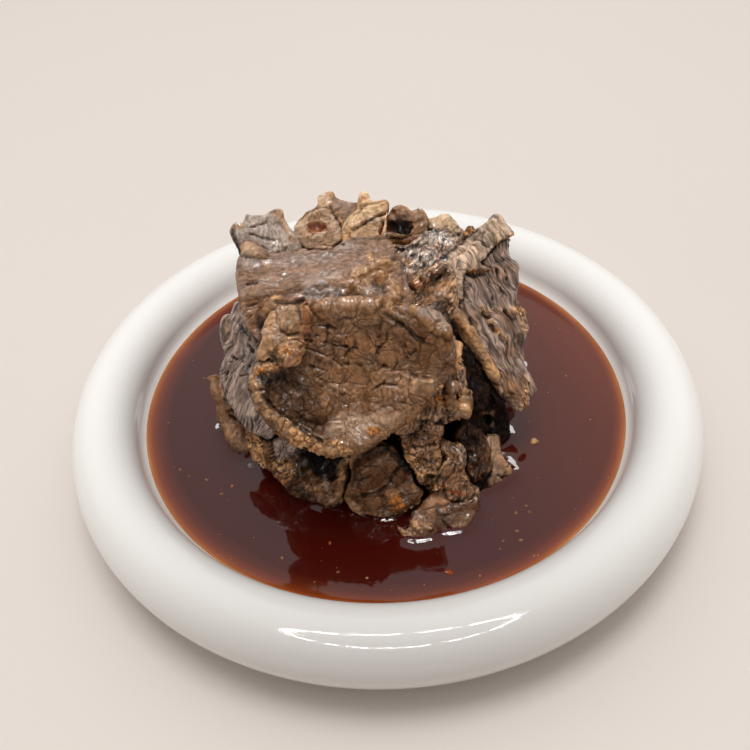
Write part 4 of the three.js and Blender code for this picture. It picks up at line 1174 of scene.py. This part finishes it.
def shaped(node, seed):
    """Surface of a piece of meat with its relief, colours and marks"""
    kind, face, grain, colours, edge_colour, wetness, size = PIECES[node]
    skin = Skin(node, size)
    textured(skin, kind, axes_of(*face, grain), colours, edge_colour, wetness, seed)
    marked(skin, seed)
    return skin


CELL = 0.8  # size in millimetres of the cells in which pieces are found to be near to each other
FADING = 0.6  # how much of a piece's nearness is left one cell further away
# Heights between which the painted shade in the gaps gets less dark towards the top of the heap
GAPS_DARK = 50
GAPS_LIGHTER = 64
GAPS_SEED = 7


def crowded(skins):
    """For each piece, how near its points lie to other pieces, from 0 up"""
    low = np.min([s.at.min(0) for s in skins], axis=0) - 3 * CELL
    places = [np.floor((s.at - low) / CELL).astype(int) for s in skins]
    shape = np.max([p.max(0) for p in places], axis=0) + 4
    fields = []
    for place in places:
        field = np.zeros(shape, np.float32)
        field[tuple(place.T)] = 1
        for axis in range(3):
            beside = np.maximum(np.roll(field, 1, axis), np.roll(field, -1, axis))
            field = np.maximum(field, FADING * beside)
        fields.append(field)
    total = sum(fields)
    return [total[tuple(p.T)] - f[tuple(p.T)] for p, f in zip(places, fields)]


def dressed(skin, crowd):
    """Paints the gaps to other pieces dark, as painted shade and the sauce that stays there, and puts the
    piece in the scene
    """
    near = skin.averaged(crowd[:, None].astype(float), 5)[:, 0]
    strength = 0.95 - 0.5 * ramp(skin.at[:, 2], GAPS_DARK, GAPS_LIGHTER)
    # Painted shade in the gaps between pieces, from how near other pieces lie
    skin.paint("black", strength * ramp(near + 0.45 * noise(skin.at / 1.8, GAPS_SEED), 0.5, 1.2))
    skin.finish()
    colours = PIECES[skin.node][3]
    slot = SLOT_OF_COLOUR[colours[0]]
    piece = new_object(f"dressed_{skin.node}", skin.mesh, BEEF[slot])
    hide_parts(skin.node)


SEED_STEP = 100  # keeps each piece's seeds apart from the next one's
skins = [shaped(node, SEED_STEP * i) for i, node in enumerate(PIECES)]
for skin, crowd in zip(skins, crowded(skins)):
    dressed(skin, crowd)


# Plate
PLATE_SECTORS = 168
GLAZES = (linear(221, 219, 216), linear(225, 223, 220))


def well_height(r):
    """Height of the plate's inside at a radius, up to the sauce's edge"""
    part = np.maximum(0, (np.asarray(r, float) - FLOOR_RADIUS) / (SAUCE_RADIUS - FLOOR_RADIUS))
    return FLOOR_HEIGHT + (SAUCE_LEVEL - FLOOR_HEIGHT) * part**1.7


def turned(name, profile, sectors):
    """Closed surface of revolution through (radius, height) points, from the axis round to the axis"""
    turns = np.arange(sectors) * 2 * math.pi / sectors
    points = [(0, 0, profile[0][1])]
    for r, z in profile[1:-1]:
        points += [(r * math.cos(t), r * math.sin(t), z) for t in turns]
    points.append((0, 0, profile[-1][1]))
    last = len(points) - 1
    rings = range(1, last, sectors)
    faces = []
    for i in range(sectors):
        j = (i + 1) % sectors
        faces.append((0, 1 + j, 1 + i))
        for low, high in zip(rings[:-1], rings[1:]):
            faces.append((low + i, low + j, high + j, high + i))
        faces.append((rings[-1] + i, rings[-1] + j, last))
    return mesh_of(name, points, faces)


def plate_profile():
    """The foot's underside, the rolled rim and the well, as (radius, height) points"""
    under = [
        (0, FOOT_RECESS),
        (FOOT_INNER - 3, FOOT_RECESS),
        (FOOT_INNER - 2.2, FOOT_RECESS - 0.1),
        (FOOT_INNER - 0.4, 0.4),
        (FOOT_INNER + 0.2, 0),
        (FOOT_OUTER - 0.2, 0),
        (FOOT_OUTER + 0.5, 0.3),
        (FOOT_OUTER + 2.5, 2.2),
    ]
    turns = np.radians(np.linspace(-118, 170, 60))
    roll = [(RIM_RADIUS + RIM_WIDE * math.cos(t), RIM_HEIGHT + RIM_TALL * math.sin(t)) for t in turns]
    radii = (*range(SAUCE_RADIUS, FLOOR_RADIUS - 1, -1), 50, 30, 10, 0)
    well = [(r, float(well_height(r))) for r in radii]
    return under + roll + [(71.6, 14), (70.8, 13)] + well


def plate_material():
    """White glaze with faint clouds and ripples"""
    made, graph, shader = new_material("plate_glaze")
    place = graph.place()
    ripples = graph.clouds(place, 160.0, 2.0)
    graph.fill(
        shader,
        {
            "Base Color": graph.between(graph.clouds(place, 30.0, 3.0), *GLAZES),
            "Roughness": graph.ranged(ripples, 0.3, 0.7, 0.05, 0.08),
            "IOR": 1.5,
            "Normal": graph.bump(ripples, 0.04, 0.2),
        },
    )
    return made


plate_mesh = turned("glazed_plate", plate_profile(), PLATE_SECTORS)
plate = new_object("glazed_plate", plate_mesh, plate_material())
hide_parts("plate")


# Sauce
POOL_RADIUS = SAUCE_RADIUS + 0.25  # a little into the plate's wall
POOL_MIDDLE = 14  # radius of the hole in the pool that the meat hides
POOL_RINGS = 76
POOL_SECTORS = 240
# How high the surface climbs at the meat and at the plate, and how far from them that falls off
CLIMB = 0.9
CLIMB_REACH = 1.3
RIM_CLIMB = 0.5
RIM_REACH = 0.8
SWELL = 0.03  # height of the slow waves of the surface
SWELL_SIZE = 9
SWELL_SEED = 71
# Only this near to the shore, and within this radius, is it looked up whether a point is in the meat
LOOKED_NEAR = 25
MEAT_RADIUS = 60
MEAT_HEIGHT = 60  # more than the meat rises over the sauce
# Radii between which the sauce thins out
THINNING = (63.5 * MM, 70.3 * MM)
# Share of thinning and its colour
SAUCE_COLOURS = [
    (0.0, linear(66, 14, 8)),
    (0.45, linear(92, 32, 14)),
    (0.72, linear(122, 52, 20)),
    (0.9, linear(160, 84, 30)),
    (1.0, linear(196, 132, 72)),
]

standing = [skin for skin in skins if skin.at[:, 2].min() < SAUCE_LEVEL]
shore_points = np.concatenate([s.at[np.abs(s.at[:, 2] - SAUCE_LEVEL - 0.3) < 0.4] for s in standing])
shore_points = shore_points[np.hypot(shore_points[:, 0], shore_points[:, 1]) < SAUCE_RADIUS]
shore_tree = KDTree(len(shore_points))
for number, point in enumerate(shore_points):
    shore_tree.insert((point[0], point[1], 0), number)
shore_tree.balance()
standing_trees = [skin.tree() for skin in standing]


def in_meat(x, y):
    """True where a point of the sauce's surface is within a piece of meat"""
    for tree in standing_trees:
        start = Vector((x, y, SAUCE_LEVEL + 0.2))
        _, normal, _, _ = tree.ray_cast(start, Vector((0, 0, 1)), MEAT_HEIGHT)
        if normal is not None and normal.z > 0:
            return True
    return False


def pool_grid():
    """Points of the pool in rings and sectors, and how far they are from meat, which is negative within it"""
    radii = np.linspace(POOL_MIDDLE, POOL_RADIUS, POOL_RINGS)
    turns = np.arange(POOL_SECTORS) * 2 * math.pi / POOL_SECTORS
    r, t = np.meshgrid(radii, turns, indexing="ij")
    x, y = r * np.cos(t), r * np.sin(t)
    away = np.empty(r.shape)
    for spot in np.ndindex(r.shape):
        away[spot] = shore_tree.find((x[spot], y[spot], 0))[2]
        if away[spot] < LOOKED_NEAR and r[spot] < MEAT_RADIUS and in_meat(x[spot], y[spot]):
            away[spot] *= -1
    return r, x, y, away


def pool_faces(kept):
    """Faces of the top and the underside where a grid is kept, and of the walls along its open sides"""
    rings, sectors = kept.shape
    number = np.arange(kept.size).reshape(kept.shape)
    faces, sides = [], {}
    for i, j in itertools.product(range(rings - 1), range(sectors)):
        k = (j + 1) % sectors
        if not (kept[i, j] and kept[i, k] and kept[i + 1, j] and kept[i + 1, k]):
            continue
        loop = (number[i, j], number[i + 1, j], number[i + 1, k], number[i, k])
        faces.append(loop)
        faces.append(tuple(p + kept.size for p in reversed(loop)))
        for a, b in zip(loop, loop[1:] + loop[:1]):
            if (b, a) in sides:
                del sides[b, a]
            else:
                sides[a, b] = True
    return faces + [(b, a, a + kept.size, b + kept.size) for a, b in sides]


def sauce_mesh():
    """Pool with a surface that climbs a little where it meets the meat and the plate"""
    r, x, y, away = pool_grid()
    climb = CLIMB * np.exp(-np.maximum(away, 0) / CLIMB_REACH)
    at_rim = RIM_CLIMB * np.exp(-(POOL_RADIUS - r) / RIM_REACH)
    flat = np.stack([x, y, 0 * x], -1).reshape(-1, 3)
    slow = SWELL * noise(flat / SWELL_SIZE, SWELL_SEED).reshape(x.shape)
    top = SAUCE_LEVEL + climb + at_rim + slow
    below = np.minimum(well_height(r) + 0.1, SAUCE_LEVEL)
    points = np.concatenate([np.stack([x, y, z], -1).reshape(-1, 3) for z in (top, below)])
    faces = pool_faces(away > -1.0)
    used = np.unique(np.concatenate([np.array(f) for f in faces]))
    new_number = np.full(len(points), -1)
    new_number[used] = np.arange(len(used))
    return mesh_of("dark_sauce", points[used], [new_number[list(f)] for f in faces])


def sauce_material():
    """Soy sauce: red-brown where it is deep, and orange where it thins out on the plate"""
    made, graph, shader = new_material("dark_sauce")
    place = graph.place()
    parts = graph.node("SeparateXYZ", {"Vector": place})
    x, y = parts["X"], parts["Y"]
    radius = graph.math("SQRT", graph.plus(graph.times(x, x), graph.times(y, y)))
    wander = graph.ranged(graph.clouds(place, 60.0, 2.0), 0, 1, -0.5 * MM, 0.5 * MM)
    at_rim = graph.ranged(graph.plus(radius, wander), *THINNING, 0, 1)
    at_right = graph.ranged(graph.plus(graph.times(y, 0.3), x), 10 * MM, 75 * MM, 0, 0.62)
    colours = graph.nodes.new("ShaderNodeValToRGB")
    graph.fill(colours, {"Fac": graph.math("MAXIMUM", at_rim, at_right)})
    stops = colours.color_ramp.elements
    for stop, (share, colour) in zip(stops, (SAUCE_COLOURS[0], SAUCE_COLOURS[-1])):
        stop.position = share
        stop.color = (*colour, 1)
    for share, colour in SAUCE_COLOURS[1:-1]:
        stops.new(share).color = (*colour, 1)
    graph.fill(shader, {"Base Color": colours.outputs["Color"], "Roughness": 0.04, "IOR": 1.45})
    return made


sauce = new_object("dressed_sauce", sauce_mesh(), sauce_material())
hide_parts("sauce")


# Crumbs on the meat: pixel of the photograph, size in millimetres and colour
CRUMBS = [
    (283, 419, 1.3, "tan"), (288, 424, 1.5, "tan"), (292, 431, 2.3, "tan"), (297, 438, 2.3, "tan"),
    (303, 443, 2.4, "tan"), (307, 438, 1.6, "tan"), (312, 449, 2.4, "tan"), (317, 445, 1.6, "tan"),
    (334, 443, 1.5, "tan"), (339, 448, 1.7, "tan"), (346, 451, 1.5, "tan"), (371, 433, 2.1, "orange"),
    (376, 431, 1.9, "orange"), (441, 386, 1.7, "tan"), (439, 397, 1.7, "orange"), (440, 402, 1.8, "tan"),
    (394, 502, 2.2, "orange"), (399, 500, 2.6, "orange"), (401, 506, 2.0, "orange"), (277, 465, 1.4, "tan"),
    (283, 462, 1.2, "tan"), (290, 468, 1.3, "tan"), (294, 473, 1.1, "tan"), (281, 471, 1.2, "light brown"),
    (400, 529, 0.9, "light brown"), (405, 532, 1.3, "light brown"), (410, 529, 1.4, "light brown"),
    (416, 526, 1.4, "tan"), (422, 525, 1.3, "light brown"), (428, 527, 1.2, "light brown"),
    (414, 534, 1.2, "light brown"), (421, 532, 1.2, "light brown"), (436, 489, 1.4, "tan"),
    (439, 487, 1.1, "tan"), (347, 500, 1.2, "brown"), (352, 508, 1.3, "light brown"),
    (360, 513, 1.2, "light brown"), (370, 514, 1.1, "brown"), (380, 515, 1.2, "light brown"),
    (405, 512, 1.4, "brown"), (411, 507, 1.4, "light brown"), (418, 503, 1.2, "brown"),
    (526, 388, 1.1, "tan"), (524, 394, 1.1, "tan"), (519, 310, 1.0, "tan"), (523, 318, 1.0, "tan"),
    (285, 349, 1.2, "orange"), (290, 353, 1.3, "orange"), (281, 353, 1.1, "tan"), (262, 370, 1.2, "orange"),
    (270, 369, 1.1, "tan"), (257, 373, 1.2, "orange"), (490, 312, 1.2, "tan"), (497, 331, 1.1, "orange"),
    (506, 339, 1.1, "tan"),
]
CRUMB_PARTS = 4  # each crumb is a cluster of smaller ones
CRUMB_SEED = 11
# First seeds of the forms of crumbs, of floating bits and of small ones
CRUMB_FORMS = 300
BIT_FORMS = 500
SMALL_BIT_FORMS = 600
CRUMB_WETNESS = 0.45


def ball():
    """Points and faces of a small round mesh"""
    made = bmesh.new()
    bmesh.ops.create_icosphere(made, subdivisions=2, radius=1)
    points = np.array([v.co for v in made.verts])
    faces = np.array([[v.index for v in f.verts] for f in made.faces])
    made.free()
    return points, faces


BALL_POINTS, BALL_FACES = ball()


def lump(at, size, flatness, seed):
    """Uneven crumb about a point: flatness is its height as a share of its width"""
    source = np.random.RandomState(seed)
    stretch = np.array([1, source.uniform(0.6, 0.9), flatness])
    turn = source.uniform(0, 2 * math.pi)
    rough = 1 + 0.5 * layered(BALL_POINTS * 1.3 + 10 * source.uniform(size=3), seed, 2)
    x, y, z = (BALL_POINTS * rough[:, None] * stretch * size / 2).T
    c, s = math.cos(turn), math.sin(turn)
    return np.stack([c * x - s * y, s * x + c * y, z], 1) + at


def scattered(name, lumps):
    """One piece of many lumps, each given as points and a colour"""
    count = len(BALL_POINTS)
    points = np.concatenate([points for points, _ in lumps])
    faces = np.concatenate([BALL_FACES + i * count for i in range(len(lumps))])
    mesh = mesh_of(name, points, faces)
    tint = np.repeat([COLOURS[colour] for _, colour in lumps], count, axis=0)
    with_attributes(mesh, grain=points, tint=tint, wet=np.full(len(points), CRUMB_WETNESS))
    new_object(name, mesh, BEEF["tan_fat"])


def on_sauce(x, y):
    """Point of the sauce's level that shows at a pixel"""
    ray = sight(x, y)
    return EYE + ray * (SAUCE_LEVEL - EYE[2]) / ray[2]


meat_trees = [skin.tree() for skin in skins]


def on_meat(x, y):
    """Point of the meat that shows at a pixel, or the nearest one to the sauce there"""
    hits = [tree.ray_cast(Vector(EYE), Vector(sight(x, y))) for tree in meat_trees]
    hits = [hit for hit in hits if hit[0] is not None]
    if not hits:
        hits = [tree.find_nearest(Vector(on_sauce(x, y))) for tree in meat_trees]
    return min(hits, key=lambda hit: hit[3])[0]


source = np.random.RandomState(CRUMB_SEED)
crumbs = []
for x, y, size, colour in CRUMBS:
    for i in range(CRUMB_PARTS):
        spread = 0 if i == 0 else 1.4 * size
        place = on_meat(x + spread * source.normal(), y + spread * source.normal())
        small = size * (0.75 if i == 0 else source.uniform(0.35, 0.6))
        crumbs.append((lump(np.array(place), small, 0.8, CRUMB_FORMS + len(crumbs)), colour))
scattered("meat_crumbs", crumbs)

# Bits that float in the sauce: the larger ones by pixel, and small ones anywhere
FLOATING = [
    (534, 441, 2.6, "tan"), (517, 531, 1.1, "brown"), (521, 540, 1.2, "brown"), (526, 506, 1.0, "brown"),
    (529, 512, 1.1, "brown"), (516, 513, 1.0, "brown"), (503, 541, 0.9, "brown"),
    (236, 452, 0.8, "light brown"), (207, 480, 1.1, "brown"), (232, 486, 1.0, "brown"),
    (222, 494, 1.0, "brown"), (282, 558, 1.2, "brown"), (330, 543, 1.2, "rust"), (338, 572, 0.9, "brown"),
    (449, 572, 2.2, "rust"), (367, 578, 0.8, "light brown"), (566, 376, 0.9, "brown"),
    (590, 420, 0.9, "brown"), (180, 470, 1.2, "brown"), (480, 576, 0.8, "brown"), (534, 556, 1.1, "brown"),
]
SMALL_BITS = 110
BIT_SEED = 17
BIT_COLOURS = ("brown", "brown", "light brown", "rust")
BIT_GAP = 1.2  # how far small bits stay away from the meat
source = np.random.RandomState(BIT_SEED)
floating = []
for i, (x, y, size, colour) in enumerate(FLOATING):
    floating.append((lump(on_sauce(x, y), size, 0.35, BIT_FORMS + i), colour))
while len(floating) < len(FLOATING) + SMALL_BITS:
    turn, out = source.uniform(0, 2 * math.pi), (SAUCE_RADIUS - 1) * math.sqrt(source.uniform(0.1, 1))
    x, y = out * math.cos(turn), out * math.sin(turn)
    if shore_tree.find((x, y, 0))[2] > BIT_GAP and not in_meat(x, y):
        place = np.array([x, y, SAUCE_LEVEL + 0.03])
        colour = BIT_COLOURS[source.randint(len(BIT_COLOURS))]
        size = source.uniform(0.2, 0.5)
        floating.append((lump(place, size, 0.3, SMALL_BIT_FORMS + len(floating)), colour))
scattered("floating_bits", floating)


# Floor, light and camera
FLOOR_REACH = 1500
FLOOR_COLOURS = (linear(226, 217, 211), linear(231, 223, 217))


def floor_material():
    """Pale matt table top"""
    made, graph, shader = new_material("pale_floor")
    colour = graph.between(graph.clouds(graph.place(), 3.0, 4.0), *FLOOR_COLOURS)
    graph.fill(shader, {"Base Color": colour, "Roughness": 0.45})
    return made


corners = [(FLOOR_REACH * x, FLOOR_REACH * y, 0) for x, y in ((-1, -1), (1, -1), (1, 1), (-1, 1))]
floor = bpy.data.objects.new("floor", mesh_of("floor", corners, [(0, 1, 2, 3)]))
bpy.context.scene.collection.objects.link(floor)
floor.data.materials.append(floor_material())


def placed(name, light, at, towards):
    """Puts a light in the scene at one point, turned towards another"""
    made = bpy.data.objects.new(name, light)
    bpy.context.scene.collection.objects.link(made)
    made.location = Vector(at) * MM
    made.rotation_euler = (Vector(towards) - Vector(at)).to_track_quat("-Z", "Y").to_euler()
    return made


def lamp(name, at, towards, size, power, colour=(1, 1, 1)):
    """A rectangular lamp that looks from one point towards another. Its longer side lies level."""
    light = bpy.data.lights.new(name, "AREA")
    light.shape = "RECTANGLE"
    light.size, light.size_y = size[0] * MM, size[1] * MM
    light.energy = power
    light.color = colour
    return placed(name, light, at, towards)


def glint(name, at, towards, size, power, lit):
    """A lamp that only shows in the gloss of the objects of one collection"""
    made = lamp(name, at, towards, size, power)
    made.visible_diffuse = False
    made.light_linking.receiver_collection = lit


def collected(name, things):
    """A collection that lights can be kept to"""
    made = bpy.data.collections.new(name)
    for thing in things:
        made.objects.link(thing)
    return made


overhead = lamp("overhead", (-40, 60, 1180), (0, 0, 0), (600, 450), 5.2, (1.0, 0.98, 0.96))
overhead.visible_glossy = False

# Glints on the wet meat, from behind and from the right
pieces = [thing for thing in bpy.data.objects if thing.name.startswith("dressed_") and thing != sauce]
meat = collected("meat", pieces)
glint("sheen_back", (-180, 520, 900), (0, 0, 30), (260, 260), 7.0, meat)
glint("sheen_side", (420, 60, 980), (0, 0, 30), (260, 260), 4.0, meat)

# The sauce's raised edge round the meat mirrors one lamp above and two low ones behind
pool = collected("pool", [sauce])
glint("gleam", (60, -160, 1200), (0, 0, 12), (420, 90), 1.6, pool)
for side in (-1, 1):
    glint(f"low_gleam_{side}", (430 * side, 650, 450), (20 * side, -40, 12), (160, 160), 0.8, pool)

# Light on the plate's inner wall beside the meat, which reaches it through everything else
wall = collected("wall", [plate])
for side in (-1, 1):
    spot = bpy.data.lights.new(f"wall_{side}", "SPOT")
    spot.energy = 3.0
    spot.spot_size = math.radians(26)
    spot.spot_blend = 0.6
    spot.shadow_soft_size = 60 * MM
    beam = placed(f"wall_{side}", spot, (200 * side, -250, 230), (55 * side, 62, 16))
    beam.visible_glossy = False
    beam.light_linking.receiver_collection = wall
    beam.light_linking.blocker_collection = wall

# A ring of narrow lamps that the plate and the sauce mirror
RING_MIDDLE = np.array([40, -620, 1500])
RING_REACH = (640, 540)
RING_LAMPS = 18
for i in range(RING_LAMPS):
    turn = 2 * math.pi * i / RING_LAMPS
    place = RING_MIDDLE + np.array([RING_REACH[0] * math.cos(turn), RING_REACH[1] * math.sin(turn), 0])
    tube = lamp(f"ring_{i}", place, place - np.array([0, 0, 100]), (150, 20), 0.9, (1.0, 0.99, 0.97))
    tube.visible_diffuse = False
    slope = math.atan2(RING_REACH[1] * math.cos(turn), -RING_REACH[0] * math.sin(turn))
    tube.rotation_euler = (0, 0, slope)

# Light from all round, which is stronger and whiter from above and behind
WARM = (1.0, 0.93, 0.86)
WHITE = (1.0, 0.985, 0.97)
world = bpy.data.worlds.new("room")
bpy.context.scene.world = world
room = Graph(world)
parts = room.node("SeparateXYZ", {"Vector": room.place("Generated")})
bright = room.plus(room.times(parts["Y"], 0.65), room.times(parts["Z"], 0.76))
room.fill(
    room.nodes["Background"],
    {
        "Strength": room.ranged(bright, 0.3, 1.0, 0.37, 1.1),
        "Color": room.between(room.ranged(bright, 0.2, 0.8, 0, 1), WARM, WHITE),
    },
)

SENSOR = 36
camera = bpy.data.objects.new("camera", bpy.data.cameras.new("camera"))
bpy.context.scene.collection.objects.link(camera)
camera.data.sensor_width = SENSOR
camera.data.lens = SENSOR * FOCAL_PIXELS / (2 * IMAGE_MIDDLE)
camera.data.clip_start = 10 * MM
axes = Matrix((RIGHT, UP, -AHEAD)).transposed().to_4x4()
camera.matrix_world = Matrix.Translation(Vector(EYE) * MM) @ axes
bpy.context.scene.camera = camera
bpy.context.scene.view_settings.view_transform = "Standard"
